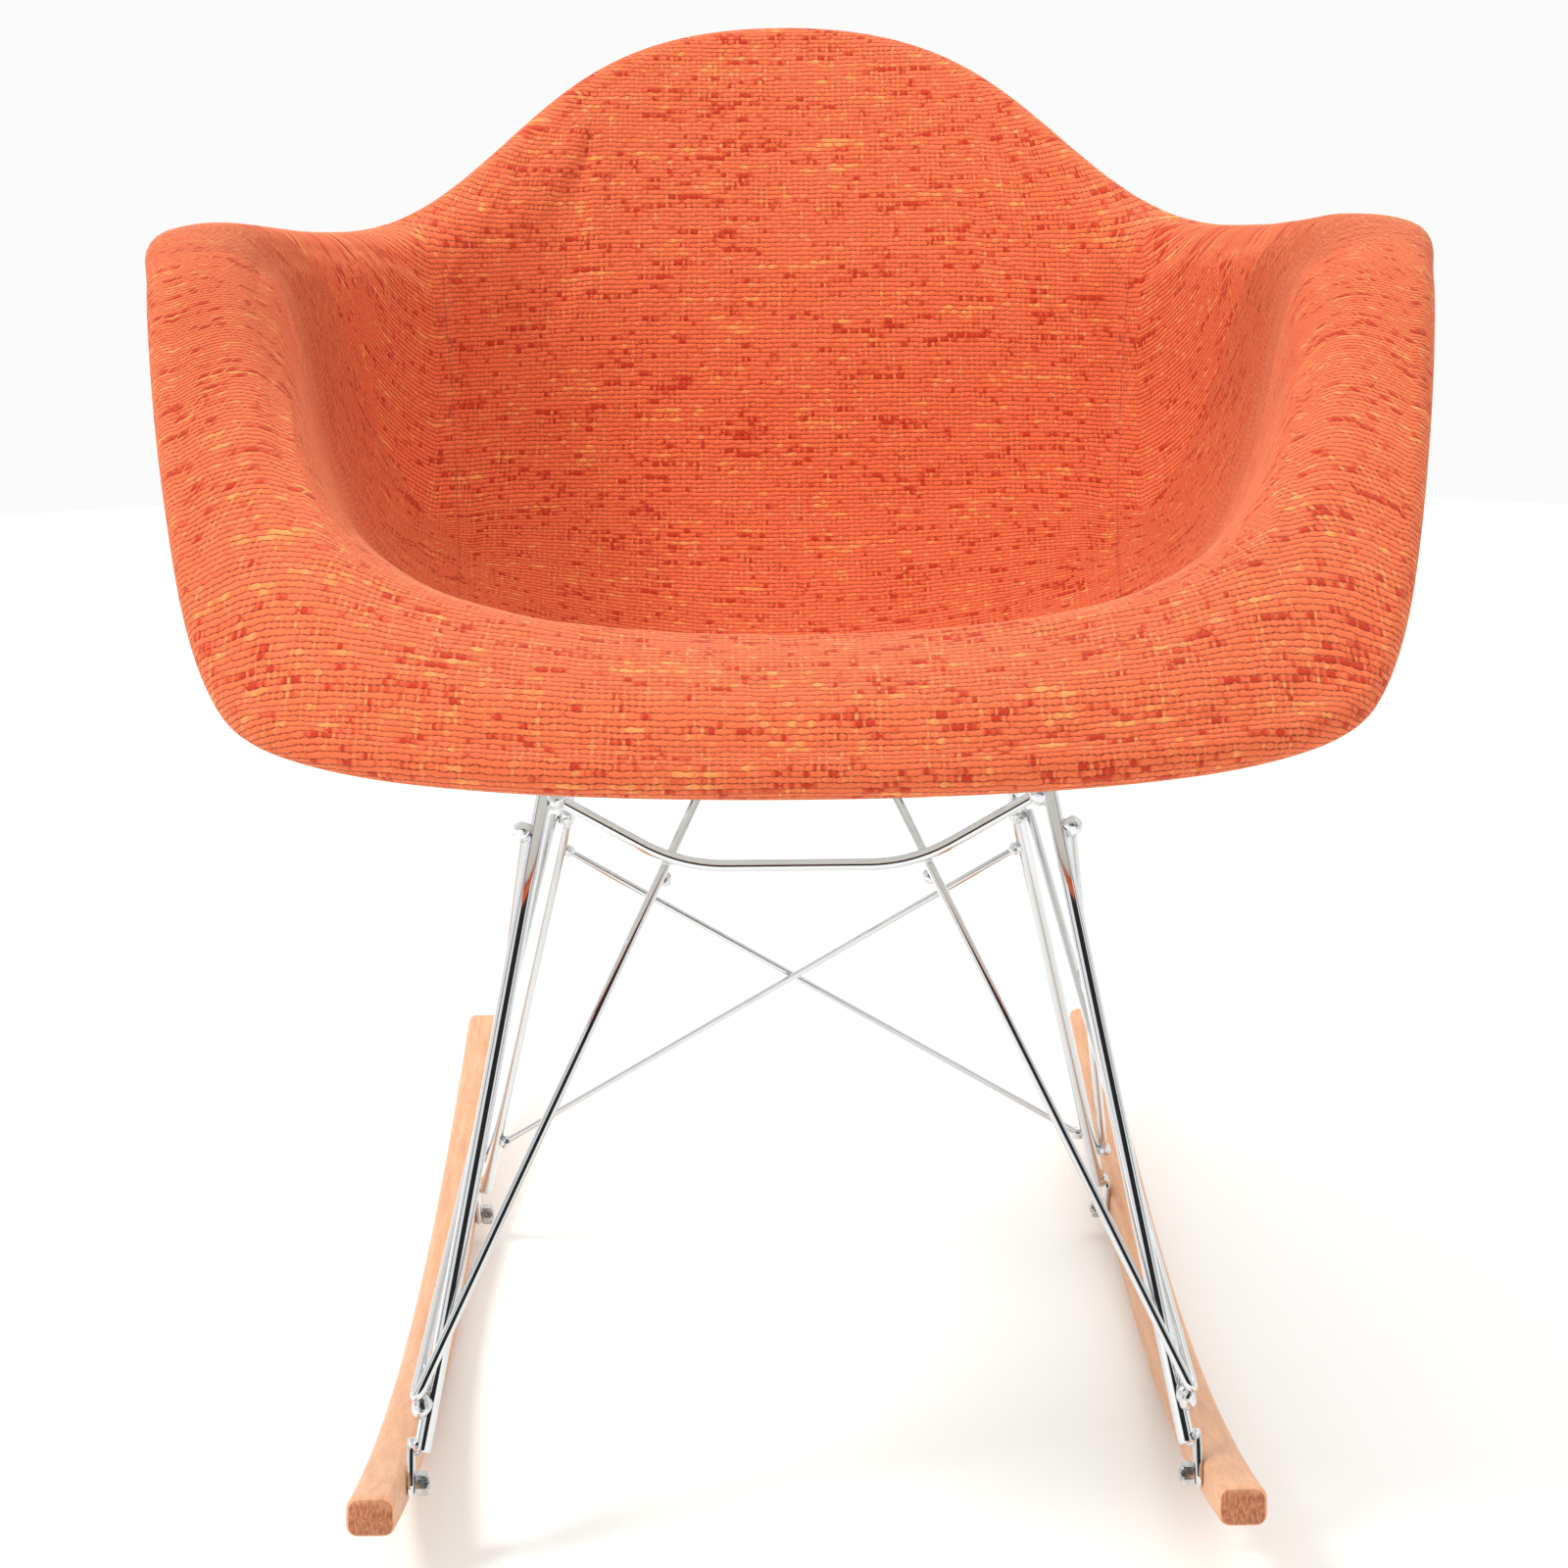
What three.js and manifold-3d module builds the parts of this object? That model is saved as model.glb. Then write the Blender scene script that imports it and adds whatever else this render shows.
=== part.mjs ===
// Rocking armchair: a padded, fabric-covered bucket seat on a welded wire base
// that is bolted to two bent-wood runners.
// Millimetres. +X is the sitter's left-right axis, -Y is the front, +Z is up.
// The origin is on the floor, at the middle of the chair's footprint.

import * as THREE from 'three';
import { mergeVertices } from 'three/addons/utils/BufferGeometryUtils.js';
import Module from 'manifold-3d';

const wasm = await Module();
wasm.setup();

// ---------------------------------------------------------------- driving dimensions

const GAP = 0.3;                 // clearance that touching pieces keep

// Runners
const RUNNER_HALF_SPACING = 195.3;
const RUNNER_HALF_WIDTH = 11;
const RUNNER_HALF_LENGTH = 340;
const RUNNER_RADIUS = 1230;      // of the rocking surface at its lowest point
const RUNNER_EASE = 1.92e-7;     // cubic term that flattens the rocking surface to the rear
const RUNNER_MID_HEIGHT = 27;
const RUNNER_END_HEIGHT = 17.5;
const RUNNER_ROUNDING = 0.3;     // of the section's corners, as a part of its height
const BALANCE_Y = -26;           // the runners' lowest point, under the centre of mass
const RUNNER_FLAT = 34;          // length of the lowest facet
const FRONT_STEPS = 9;           // facets from the lowest one to each end
const REAR_STEPS = 11;
const FACET_DEPTH = 0.5;         // flats planed on the runners' inner sides
const FACET_LENGTH = 64;

// Rods
const LEG_DIAMETER = 8;
const CROSS_WIRE_DIAMETER = 6;
const BRACE_DIAMETER = 5;
const X_BRACE_DIAMETER = 4;
const BEND_RADIUS = 22;
const HAIRPIN_RADIUS = 14;
const REAR_WIRE_RADIUS = 14;
const BEND_STEPS = 5;
const BEND_LIMIT = 2.1;          // a bend's reach is at most a straight run's length over this
const ROD_SIDES = 8;
const CROSS_WIRE_SIDES = 10;
const LEG_SIDES = 12;

// Where rods join the legs, as parts of a leg's length from its top or its foot
const CROSS_WIRE_JOINT = 0.08;
const HAIRPIN_JOINT = 0.02;
const SIDE_BRACE_TOP = 0.14;
const SIDE_BRACE_FOOT = 0.09;
const X_BRACE_TOP = 0.09;
const X_BRACE_FOOT = 0.12;

// Feet
const TAB_THICKNESS = 3.2;
const TAB_WIDTH = 12;
const TAB_LENGTH = 27;
const BOLT_DIAMETER = 6;
const BOLT_HOLE = 6.6;
const BOLT_HEAD_DIAMETER = 11;
const BOLT_HEAD_HEIGHT = 3.5;
const NUT_ACROSS_FLATS = 10;
const NUT_HEIGHT = 6;
const HEAD_RECESS = 1;           // of a bolt head below the runner's outer side
const HEAD_CLEARANCE = 1;        // in diameter, round a bolt head
const SHANK_OVERRUN = 1;         // past the nut, and into the head
const FOOT_SOCKET = { width: 4.6, floor: 1.5 };
const MOUNT_SOCKET = { width: 5, floor: 2 };

// Seat layers, as offsets from the middle of the padded shell
const HALF_THICKNESS = 11;
const COVER_THICKNESS = 2;
const SHELL_THICKNESS = 5.4;
const HEM_INSET = 0.02;          // depth of the turned-under hem, as a part of half the seat
const HEM_GAP = 0.6;             // round the hem, where facets of two layers don't run alike
const RIM_STEPS = 4;
const GRID_ACROSS = 20;
const GRID_ALONG = 18;
const RIM_SQUARENESS = 5;        // exponent of the rounded-square outline

// Seat mounts
const MOUNT_HALF_SPACING = 98;
const FRONT_MOUNT_Y = -142;
const REAR_MOUNT_Y = 44;
const MOUNT_DIAMETER = 34;
const MOUNT_HEIGHT = 9;
const PLATE_THICKNESS = 3;
const BOSS_DIAMETER = 26;
const INSERT_DIAMETER = 12;
const SCREW_HEAD_DIAMETER = 12;
const SCREW_HEAD_HEIGHT = 4;
const SCREW_HEAD_OVERLAP = 0.5;
const PLATE_DIAMETER = 40;
const BOSS_DROP = 1;             // how far the shell's bosses stand below the cover
const BOSS_TOP = 8;              // inside the shell, above its lower face
const INSERT_LENGTH = 6;
const RUBBER_TOP = BOSS_DROP + GAP;
const RUBBER_BOTTOM = RUBBER_TOP + MOUNT_HEIGHT;
const PLATE_TOP = RUBBER_BOTTOM + GAP;
const PLATE_BOTTOM = PLATE_TOP + PLATE_THICKNESS;

// Facets of round solids, and how far a cutting tool reaches past what it cuts
const BAR_SIDES = 12;
const BORE_SIDES = 8;
const BOSS_SIDES = 14;
const MOUNT_SIDES = 16;
const HEXAGON = 6;
const RUNNER_CORNER_STEPS = 3;
const THROUGH = 30;

// Search for the seat's grid place above a point of the floor plan: it starts near the
// middle of the pan, and each round moves by the distance over a cautious stride.
const PLACE_START = [0.15, 0.5];
const PLACE_ROUNDS = 40;
const PLACE_STRIDE = { across: 700, along: 900 };

const RUNNER_OUTER_X = RUNNER_HALF_SPACING + RUNNER_HALF_WIDTH;
const RUNNER_FACE = RUNNER_HALF_SPACING - RUNNER_HALF_WIDTH + FACET_DEPTH;
const TAB_OUTER_X = RUNNER_FACE - GAP;
const TAB_INNER_X = TAB_OUTER_X - TAB_THICKNESS;

// Key points of the wire base on the +X side; the other side is mirrored.
const FRONT_BOLT = { y: -281, z: 42 };
const REAR_BOLT = { y: 107, z: 16.5 };
const FRONT_LEG = { low: [178, -278, 56], high: [115.6, -148.4, 366] };
const REAR_LEG = { low: [178.5, 101, 34], high: [121, 30, 281] };
const HAIRPIN_LOOP = [181.7, -281, 79];
const CROSS_WIRE_BEND = [56, -160, 304];
const REAR_WIRE_HEIGHT = 308.8;
const WIRE_CROSSING = [64.2, -156.8, 302.1];   // where a hairpin brace passes the front wire
const HAIRPIN_TOP = 342;
const REAR_WIRE_OVERLAP = 14;    // how far the rear cross wire's ends run down the legs

// Centre line of the seat, from the front edge over the pan and up the back: y, z.
const FRONT_EDGE_HEIGHT = 390;
const BACK_TOP_HEIGHT = 675;
const CENTRE_LINE = [
  [-318, FRONT_EDGE_HEIGHT], [-298, 413], [-252, 424], [-165, 388], [-50, 343],
  [62, 335], [138, 412], [190, 545], [258, BACK_TOP_HEIGHT],
];

// Rim: the seat's front corner, the arm at its widest and the corner of the back.
const FRONT_CORNER = { y: -282, halfWidth: 250, height: 390 };
const ARM = { y: -22, halfWidth: 305, height: 588 };
const BACK_CORNER = { y: 132, halfWidth: 220, height: 568 };
const ARM_SLOPE = 0.97;          // rise of the arm's front edge for each millimetre to the rear
const ARM_ROUNDING = 8;          // where that edge turns into the level top
const FRONT_BOW = 1.6;           // exponents of the rim's bow in plan, ahead of the widest
const REAR_BOW = 1.15;           // place and behind it
const RIM_STATIONS = [-282, -262, -218, -150, -88, -22, 50, 97, 132];   // beside the centre line's points

// Each cross-section is a cubic curve: it leaves the centre line level, with this
// reach, and meets the rim along a tangent with its own reach.
const CENTRE_REACH = [150, 190, 240, 305, 350, 345, 280, 165, 120];
const RIM_TANGENT = [
  [1, 0.2, -0.15], [1, 0, -0.35], [0.9, -0.25, -0.45], [0.75, -0.5, -0.45], [0.75, -0.6, -0.28],
  [0.85, -0.35, -0.28], [1, -0.15, -0.22], [0.9, -0.3, -0.2], [0.75, -0.48, -0.45],
];
const RIM_REACH = [60, 68, 85, 110, 130, 120, 95, 85, 115];

// ---------------------------------------------------------------- materials

const finishes = {
  fabric: { color: 0xe8643a, roughness: 0.95, metalness: 0 },
  foam: { color: 0xe9e2c8, roughness: 0.95, metalness: 0 },
  shell: { color: 0xe6e6e2, roughness: 0.5, metalness: 0 },
  chrome: { color: 0xd8dadc, roughness: 0.08, metalness: 1 },
  zinc: { color: 0xb9bcbd, roughness: 0.35, metalness: 1 },
  wood: { color: 0xf2c090, roughness: 0.5, metalness: 0 },
  rubber: { color: 0x222222, roughness: 0.8, metalness: 0 },
};

const chair = new THREE.Group();

function addPiece(name, geometry, finish) {
  const piece = new THREE.Mesh(geometry, new THREE.MeshStandardMaterial(finishes[finish]));
  piece.name = name;
  chair.add(piece);
}

// ---------------------------------------------------------------- solids

function toManifold(geometry) {
  const bare = geometry.clone();
  bare.deleteAttribute('normal');
  bare.deleteAttribute('uv');
  const merged = mergeVertices(bare, 1e-4);
  return new wasm.Manifold(new wasm.Mesh({
    numProp: 3,
    vertProperties: new Float32Array(merged.attributes.position.array),
    triVerts: new Uint32Array(merged.index.array),
  }));
}

function toGeometry(solid) {
  const mesh = solid.getMesh();
  const geometry = new THREE.BufferGeometry();
  geometry.setAttribute('position', new THREE.BufferAttribute(new Float32Array(mesh.vertProperties), 3));
  geometry.setIndex(new THREE.BufferAttribute(new Uint32Array(mesh.triVerts), 1));
  geometry.computeVertexNormals();
  return geometry;
}

function cut(geometry, ...tools) {
  const solid = tools.reduce((left, tool) => left.subtract(toManifold(tool)), toManifold(geometry));
  return toGeometry(solid);
}

function join(geometry, ...others) {
  const solid = others.reduce((left, other) => left.add(toManifold(other)), toManifold(geometry));
  return toGeometry(solid);
}

// A cylinder between two points; with six sides it is a hexagonal prism.
function bar(from, to, diameter, sides = BAR_SIDES) {
  const a = new THREE.Vector3(...from);
  const b = new THREE.Vector3(...to);
  const geometry = new THREE.CylinderGeometry(diameter / 2, diameter / 2, a.distanceTo(b), sides);
  const turn = new THREE.Quaternion().setFromUnitVectors(
    new THREE.Vector3(0, 1, 0), b.clone().sub(a).normalize());
  geometry.applyQuaternion(turn);
  const middle = a.add(b).multiplyScalar(0.5);
  geometry.translate(middle.x, middle.y, middle.z);
  return geometry;
}

// A path through given points whose steps fall on those points.
class PointPath extends THREE.Curve {
  constructor(points) {
    super();
    this.points = points;
  }

  getPoint(t) {
    const place = t * (this.points.length - 1);
    const index = Math.min(Math.floor(place), this.points.length - 2);
    return this.points[index].clone().lerp(this.points[index + 1], place - index);
  }

  getPointAt(t) {
    return this.getPoint(t);
  }

  getTangentAt(t) {
    const place = Math.round(t * (this.points.length - 1));
    const before = this.points[Math.max(place - 1, 0)];
    const after = this.points[Math.min(place + 1, this.points.length - 1)];
    return after.clone().sub(before).normalize();
  }
}

// The corner points of a bent rod, with each inner corner rounded.
function roundedPath(corners, radius) {
  const points = corners.map((corner) => new THREE.Vector3(...corner));
  const path = [points[0]];
  for (let i = 1; i < points.length - 1; i += 1) {
    const back = points[i - 1].clone().sub(points[i]);
    const forward = points[i + 1].clone().sub(points[i]);
    const reach = Math.min(radius, back.length() / BEND_LIMIT, forward.length() / BEND_LIMIT);
    const start = points[i].clone().addScaledVector(back.normalize(), reach);
    const end = points[i].clone().addScaledVector(forward.normalize(), reach);
    const arc = new THREE.QuadraticBezierCurve3(start, points[i], end);
    path.push(...arc.getPoints(BEND_STEPS));
  }
  path.push(points[points.length - 1]);
  return path;
}

function rod(corners, diameter, { radius = BEND_RADIUS, sides = ROD_SIDES } = {}) {
  const outline = new THREE.Shape(Array.from({ length: sides }, (_, k) => {
    const angle = (2 * Math.PI * k) / sides;
    return new THREE.Vector2(Math.cos(angle), Math.sin(angle)).multiplyScalar(diameter / 2);
  }));
  const points = roundedPath(corners, radius);
  return new THREE.ExtrudeGeometry(outline, {
    steps: points.length - 1,
    extrudePath: new PointPath(points),
    bevelEnabled: false,
  });
}

const evenly = (from, to, steps) => {
  return Array.from({ length: steps + 1 }, (_, k) => from + ((to - from) * k) / steps);
};

const mirrored = (point, side) => [point[0] * side, point[1], point[2]];
const between = (a, b, t) => a.map((value, i) => value + (b[i] - value) * t);

// ---------------------------------------------------------------- seat surface

// Catmull-Rom interpolation through evenly spaced values.
function splineValue(values, t) {
  const last = values.length - 1;
  const place = Math.min(Math.max(t, 0), 1) * last;
  const i = Math.min(Math.floor(place), last - 1);
  const f = place - i;
  const before = i > 0 ? values[i - 1] : 2 * values[0] - values[1];
  const after = i < last - 1 ? values[i + 2] : 2 * values[last] - values[last - 1];
  return 0.5 * (2 * values[i] + (values[i + 1] - before) * f
    + (2 * before - 5 * values[i] + 4 * values[i + 1] - after) * f * f
    + (3 * values[i] - before - 3 * values[i + 1] + after) * f * f * f);
}

const column = (rows, index) => rows.map((row) => row[index]);

// The rim on the +X side. In plan it bows in from the arm to both corners. From the side
// it climbs the arm's front edge, turns a rounded corner and then falls a little.
function rimPoint(y) {
  const isAhead = y < ARM.y;
  const corner = isAhead ? FRONT_CORNER : BACK_CORNER;
  const share = (ARM.y - y) / (ARM.y - corner.y);
  const bow = share ** (isAhead ? FRONT_BOW : REAR_BOW);
  const x = ARM.halfWidth - (ARM.halfWidth - corner.halfWidth) * bow;
  const climb = FRONT_CORNER.height + ARM_SLOPE * (y - FRONT_CORNER.y);
  const top = ARM.height - (isAhead ? 0 : (ARM.height - BACK_CORNER.height) * share);
  return [x, y, (climb + top) / 2 - Math.hypot((climb - top) / 2, ARM_ROUNDING)];
}

const rimLine = RIM_STATIONS.map(rimPoint);

// A point on the middle of the padded shell. across runs from -1 to 1 between the
// rims, along from 0 at the front edge to 1 at the top of the back.
function seatPoint(across, along) {
  const w = Math.abs(across);
  const centre = new THREE.Vector3(
    0, splineValue(column(CENTRE_LINE, 0), along), splineValue(column(CENTRE_LINE, 1), along));
  const rim = new THREE.Vector3(...[0, 1, 2].map((k) => splineValue(column(rimLine, k), along)));
  const tangent = new THREE.Vector3(
    ...[0, 1, 2].map((k) => splineValue(column(RIM_TANGENT, k), along))).normalize();
  const centreHandle = centre.clone().setX(splineValue(CENTRE_REACH, along));
  const rimHandle = rim.clone().addScaledVector(tangent, -splineValue(RIM_REACH, along));
  const point = new THREE.CubicBezierCurve3(centre, centreHandle, rimHandle, rim).getPoint(w);
  point.x *= Math.sign(across);
  return point;
}

// The unit normal towards the sitter.
function seatNormal(across, along) {
  const h = 0.001;
  const right = seatPoint(Math.min(across + h, 1), along).sub(seatPoint(Math.max(across - h, -1), along));
  const rear = seatPoint(across, Math.min(along + h, 1)).sub(seatPoint(across, Math.max(along - h, 0)));
  return right.cross(rear).normalize();
}

// Maps a square to the rounded square that outlines the seat.
function roundedSquare(a, b) {
  const m = Math.max(Math.abs(a), Math.abs(b));
  if (m === 0) return [0, 0.5];
  const spread = (Math.abs(a) / m) ** RIM_SQUARENESS + (Math.abs(b) / m) ** RIM_SQUARENESS;
  const k = 1 + (spread ** (-1 / RIM_SQUARENESS) - 1) * m * m;
  return [a * k, (b * k + 1) / 2];
}

// Grid lines from edge to edge, with one line a hem's depth inside each edge.
function gridLines(count) {
  const lines = Array.from({ length: count - 1 }, (_, k) => {
    return (1 - HEM_INSET) * ((2 * k) / (count - 2) - 1);
  });
  return [-1, ...lines, 1];
}

const acrossLines = gridLines(GRID_ACROSS);
const alongLines = gridLines(GRID_ALONG);

// Every grid vertex of the middle surface with its normal: grid[j][i].
const grid = alongLines.map((b) => acrossLines.map((a) => {
  const [across, along] = roundedSquare(a, b);
  const offCentre = Math.abs(across) < 1e-6 ? 1e-6 : across;
  return { point: seatPoint(offCentre, along), normal: seatNormal(offCentre, along) };
}));

// The grid places round an outline, in order: front, right rim, back, left rim.
// A margin of 1 follows the hem line instead of the rim.
function outlinePlaces(margin) {
  const right = GRID_ACROSS - margin;
  const rear = GRID_ALONG - margin;
  const places = [];
  for (let i = margin; i < right; i += 1) places.push([i, margin]);
  for (let j = margin; j < rear; j += 1) places.push([right, j]);
  for (let i = right; i > margin; i -= 1) places.push([i, rear]);
  for (let j = rear; j > margin; j -= 1) places.push([margin, j]);
  return places;
}

// The direction out of the seat at each vertex of an outline, square to that outline.
[0, 1].forEach((margin) => {
  const places = outlinePlaces(margin);
  places.forEach(([i, j], k) => {
    const [beforeI, beforeJ] = places[(k + places.length - 1) % places.length];
    const [afterI, afterJ] = places[(k + 1) % places.length];
    const direction = grid[afterJ][afterI].point.clone().sub(grid[beforeJ][beforeI].point);
    grid[j][i].outward = direction.cross(grid[j][i].normal).normalize();
  });
});

// Collects vertices and triangles for one layer of the seat.
class LayerBuilder {
  constructor() {
    this.positions = [];
    this.faces = [];
  }

  vertex(i, j, offset, past = 0) {
    const { point, normal, outward } = grid[j][i];
    const moved = point.clone().addScaledVector(normal, offset);
    if (past !== 0) moved.addScaledVector(outward, past);
    this.positions.push(moved.x, moved.y, moved.z);
    return this.positions.length / 3 - 1;
  }

  triangle(a, b, c) {
    if (a !== b && b !== c && c !== a) this.faces.push(a, b, c);
  }

  // Every cell is split along the diagonal that points to the nearest corner of the seat.
  startAtNearestCorner(corners, i, j) {
    const splitsFromFirst = (i < GRID_ACROSS / 2) === (j < GRID_ALONG / 2);
    return splitsFromFirst ? corners : [...corners.slice(1), corners[0]];
  }

  // One face of the layer, facing up or down; returns its outline's vertex numbers.
  sheet(margin, offset, facesUp) {
    const numbers = grid.map((row, j) => row.map((_, i) => {
      const inside = i >= margin && i <= GRID_ACROSS - margin && j >= margin && j <= GRID_ALONG - margin;
      return inside ? this.vertex(i, j, offset) : -1;
    }));
    for (let j = margin; j < GRID_ALONG - margin; j += 1) {
      for (let i = margin; i < GRID_ACROSS - margin; i += 1) {
        const corners = [numbers[j][i], numbers[j][i + 1], numbers[j + 1][i + 1], numbers[j + 1][i]];
        const [a, b, c, d] = this.startAtNearestCorner(corners, i, j);
        this.triangle(a, facesUp ? b : c, facesUp ? c : b);
        this.triangle(a, facesUp ? c : d, facesUp ? d : c);
      }
    }
    return outlinePlaces(margin).map(([i, j]) => numbers[j][i]);
  }

  // A ring of vertices round the rim.
  rimRing([offset, past]) {
    return outlinePlaces(0).map(([i, j]) => this.vertex(i, j, offset, past));
  }

  // A ring on the hem line with one entry for each rim vertex.
  hemRing([offset, past]) {
    const known = new Map();
    return outlinePlaces(0).map(([i, j]) => {
      const nearI = Math.min(Math.max(i, 1), GRID_ACROSS - 1);
      const nearJ = Math.min(Math.max(j, 1), GRID_ALONG - 1);
      const key = `${nearI},${nearJ}`;
      if (!known.has(key)) known.set(key, this.vertex(nearI, nearJ, offset, past));
      return known.get(key);
    });
  }

  // Joins loops of equal length, listed from the upper face round to the lower one.
  stitch(loops) {
    for (let k = 0; k < loops.length - 1; k += 1) {
      loops[k].forEach((start, i) => {
        const next = (i + 1) % loops[k].length;
        this.triangle(start, loops[k + 1][i], loops[k + 1][next]);
        this.triangle(start, loops[k + 1][next], loops[k][next]);
      });
    }
  }

  geometry() {
    const geometry = new THREE.BufferGeometry();
    geometry.setAttribute('position', new THREE.Float32BufferAttribute(this.positions, 3));
    geometry.setIndex(this.faces);
    geometry.computeVertexNormals();
    return geometry;
  }
}

// A layer with a plain edge, between two offsets from the middle surface.
function plainLayer(upperOffset, lowerOffset, margin = 0) {
  const layer = new LayerBuilder();
  const upper = layer.sheet(margin, upperOffset, true);
  const lower = layer.sheet(margin, lowerOffset, false);
  layer.stitch([upper, lower]);
  return layer.geometry();
}

// The inner cover: over the seat, round the rim and turned under as a hem.
function wrappedLayer(outerOffset, innerOffset) {
  const layer = new LayerBuilder();
  const upper = layer.sheet(0, outerOffset, true);
  const lower = layer.sheet(0, innerOffset, false);
  const outside = rimWrap(outerOffset, RIM_STEPS).slice(1).map((place) => layer.rimRing(place));
  const inside = rimWrap(innerOffset, RIM_STEPS).slice(1).reverse().map((place) => layer.rimRing(place));
  const hem = [layer.hemRing([-outerOffset, HEM_GAP]), layer.hemRing([-innerOffset, HEM_GAP])];
  layer.stitch([upper, ...outside, ...hem, ...inside, lower]);
  return layer.geometry();
}

// Points of a half circle round the rim, from the upper side to the lower one.
function rimWrap(radius, steps) {
  return Array.from({ length: steps + 1 }, (_, k) => {
    const angle = (Math.PI * k) / steps;
    return [radius * Math.cos(angle), radius * Math.sin(angle)];
  });
}

// ---------------------------------------------------------------- seat mounts

// The place on the seat surface above a point of the floor plan.
function placeAbove(x, y) {
  let [across, along] = PLACE_START;
  for (let round = 0; round < PLACE_ROUNDS; round += 1) {
    const point = seatPoint(across, along);
    across += (x - point.x) / PLACE_STRIDE.across;
    along += (y - point.y) / PLACE_STRIDE.along;
  }
  return [across, along];
}

// Each mount's axis starts on the underside of the seat and points down, square to it.
const mounts = [['front', FRONT_MOUNT_Y], ['rear', REAR_MOUNT_Y]].flatMap(([end, y]) => {
  return [[1, 'right'], [-1, 'left']].map(([side, word]) => {
    const [across, along] = placeAbove(MOUNT_HALF_SPACING, y);
    const normal = seatNormal(side * across, along);
    const foot = seatPoint(side * across, along).addScaledVector(normal, -HALF_THICKNESS);
    return { name: `${end}_${word}`, foot, down: normal.clone().negate() };
  });
});

// The point at a distance below the seat's underside, on a mount's axis.
const below = (mount, distance) => mount.foot.clone().addScaledVector(mount.down, distance).toArray();
const mountBar = (mount, from, to, diameter, sides) => {
  return bar(below(mount, from), below(mount, to), diameter, sides);
};

function buildSeat() {
  const coverInside = HALF_THICKNESS - COVER_THICKNESS;
  const foamTop = coverInside - GAP;
  const shellBottom = HEM_GAP - coverInside;
  const shellTop = shellBottom + SHELL_THICKNESS;
  const pocketTop = BOSS_DROP - INSERT_LENGTH - GAP;
  const pocketDiameter = INSERT_DIAMETER + 2 * GAP;
  const bosses = mounts.map((m) => mountBar(m, BOSS_DROP, -BOSS_TOP, BOSS_DIAMETER, BOSS_SIDES));
  const pockets = mounts.map((m) => mountBar(m, THROUGH, pocketTop, pocketDiameter));
  const shellPlain = plainLayer(shellTop, shellBottom);
  addPiece('seat_shell', cut(join(shellPlain, ...bosses), ...pockets), 'shell');
  addPiece('foam_pad', plainLayer(foamTop, shellTop + 2 * GAP), 'foam');
  addPiece('inner_cover', wrappedLayer(HALF_THICKNESS, coverInside), 'fabric');

  const holeDiameter = BOSS_DIAMETER + 2 * GAP;
  const holes = mounts.map((m) => mountBar(m, THROUGH, -THROUGH, holeDiameter, BOSS_SIDES));
  const outerPlain = plainLayer(-coverInside, -HALF_THICKNESS, 1);
  addPiece('outer_cover', cut(outerPlain, ...holes), 'fabric');
}

function buildMounts() {
  const headTop = PLATE_BOTTOM + GAP;
  const headBottom = headTop + SCREW_HEAD_HEIGHT;
  const shankTop = BOSS_DROP - INSERT_LENGTH + SHANK_OVERRUN;
  mounts.forEach((m) => {
    const bore = mountBar(m, -THROUGH, THROUGH, BOLT_HOLE, BORE_SIDES);
    const insert = mountBar(m, BOSS_DROP, BOSS_DROP - INSERT_LENGTH, INSERT_DIAMETER);
    addPiece(`threaded_insert_${m.name}`, cut(insert, bore), 'zinc');

    const rubber = mountBar(m, RUBBER_TOP, RUBBER_BOTTOM, MOUNT_DIAMETER, MOUNT_SIDES);
    addPiece(`seat_mount_${m.name}`, cut(rubber, bore), 'rubber');

    const plate = mountBar(m, PLATE_TOP, PLATE_BOTTOM, PLATE_DIAMETER, MOUNT_SIDES);
    addPiece(`mount_plate_${m.name}`, cut(plate, bore), 'chrome');

    const shank = mountBar(m, shankTop, headTop + SCREW_HEAD_OVERLAP, BOLT_DIAMETER, BORE_SIDES);
    const head = mountBar(m, headTop, headBottom, SCREW_HEAD_DIAMETER);
    const socketFloor = headTop + MOUNT_SOCKET.floor;
    const socket = mountBar(m, socketFloor, headBottom + THROUGH, MOUNT_SOCKET.width, HEXAGON);
    addPiece(`mount_screw_${m.name}`, cut(join(shank, head), socket), 'zinc');
  });
}

// ---------------------------------------------------------------- runners

// The height and lean of the rocking surface.
function rockingSurface(y) {
  const past = y - BALANCE_Y;
  const lowest = (RUNNER_FLAT / 2) ** 2 / (2 * RUNNER_RADIUS);
  const height = past ** 2 / (2 * RUNNER_RADIUS) - RUNNER_EASE * past ** 3 - lowest;
  const slope = past / RUNNER_RADIUS - 3 * RUNNER_EASE * past ** 2;
  return { height, lean: Math.atan(slope) };
}

// A runner's rounded section at one station, as offsets from its rocking surface.
function runnerRing(y) {
  const height = RUNNER_MID_HEIGHT - (RUNNER_MID_HEIGHT - RUNNER_END_HEIGHT) * (y / RUNNER_HALF_LENGTH) ** 2;
  const round = height * RUNNER_ROUNDING;
  const x = RUNNER_HALF_WIDTH - round;
  const centres = [[x, round], [x, height - round], [-x, height - round], [-x, round]];
  return centres.flatMap(([centreX, centreZ], corner) => {
    return evenly(corner - 1, corner, RUNNER_CORNER_STEPS).map((quarter) => {
      const angle = (quarter * Math.PI) / 2;
      return [centreX + round * Math.cos(angle), centreZ + round * Math.sin(angle)];
    });
  });
}

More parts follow.
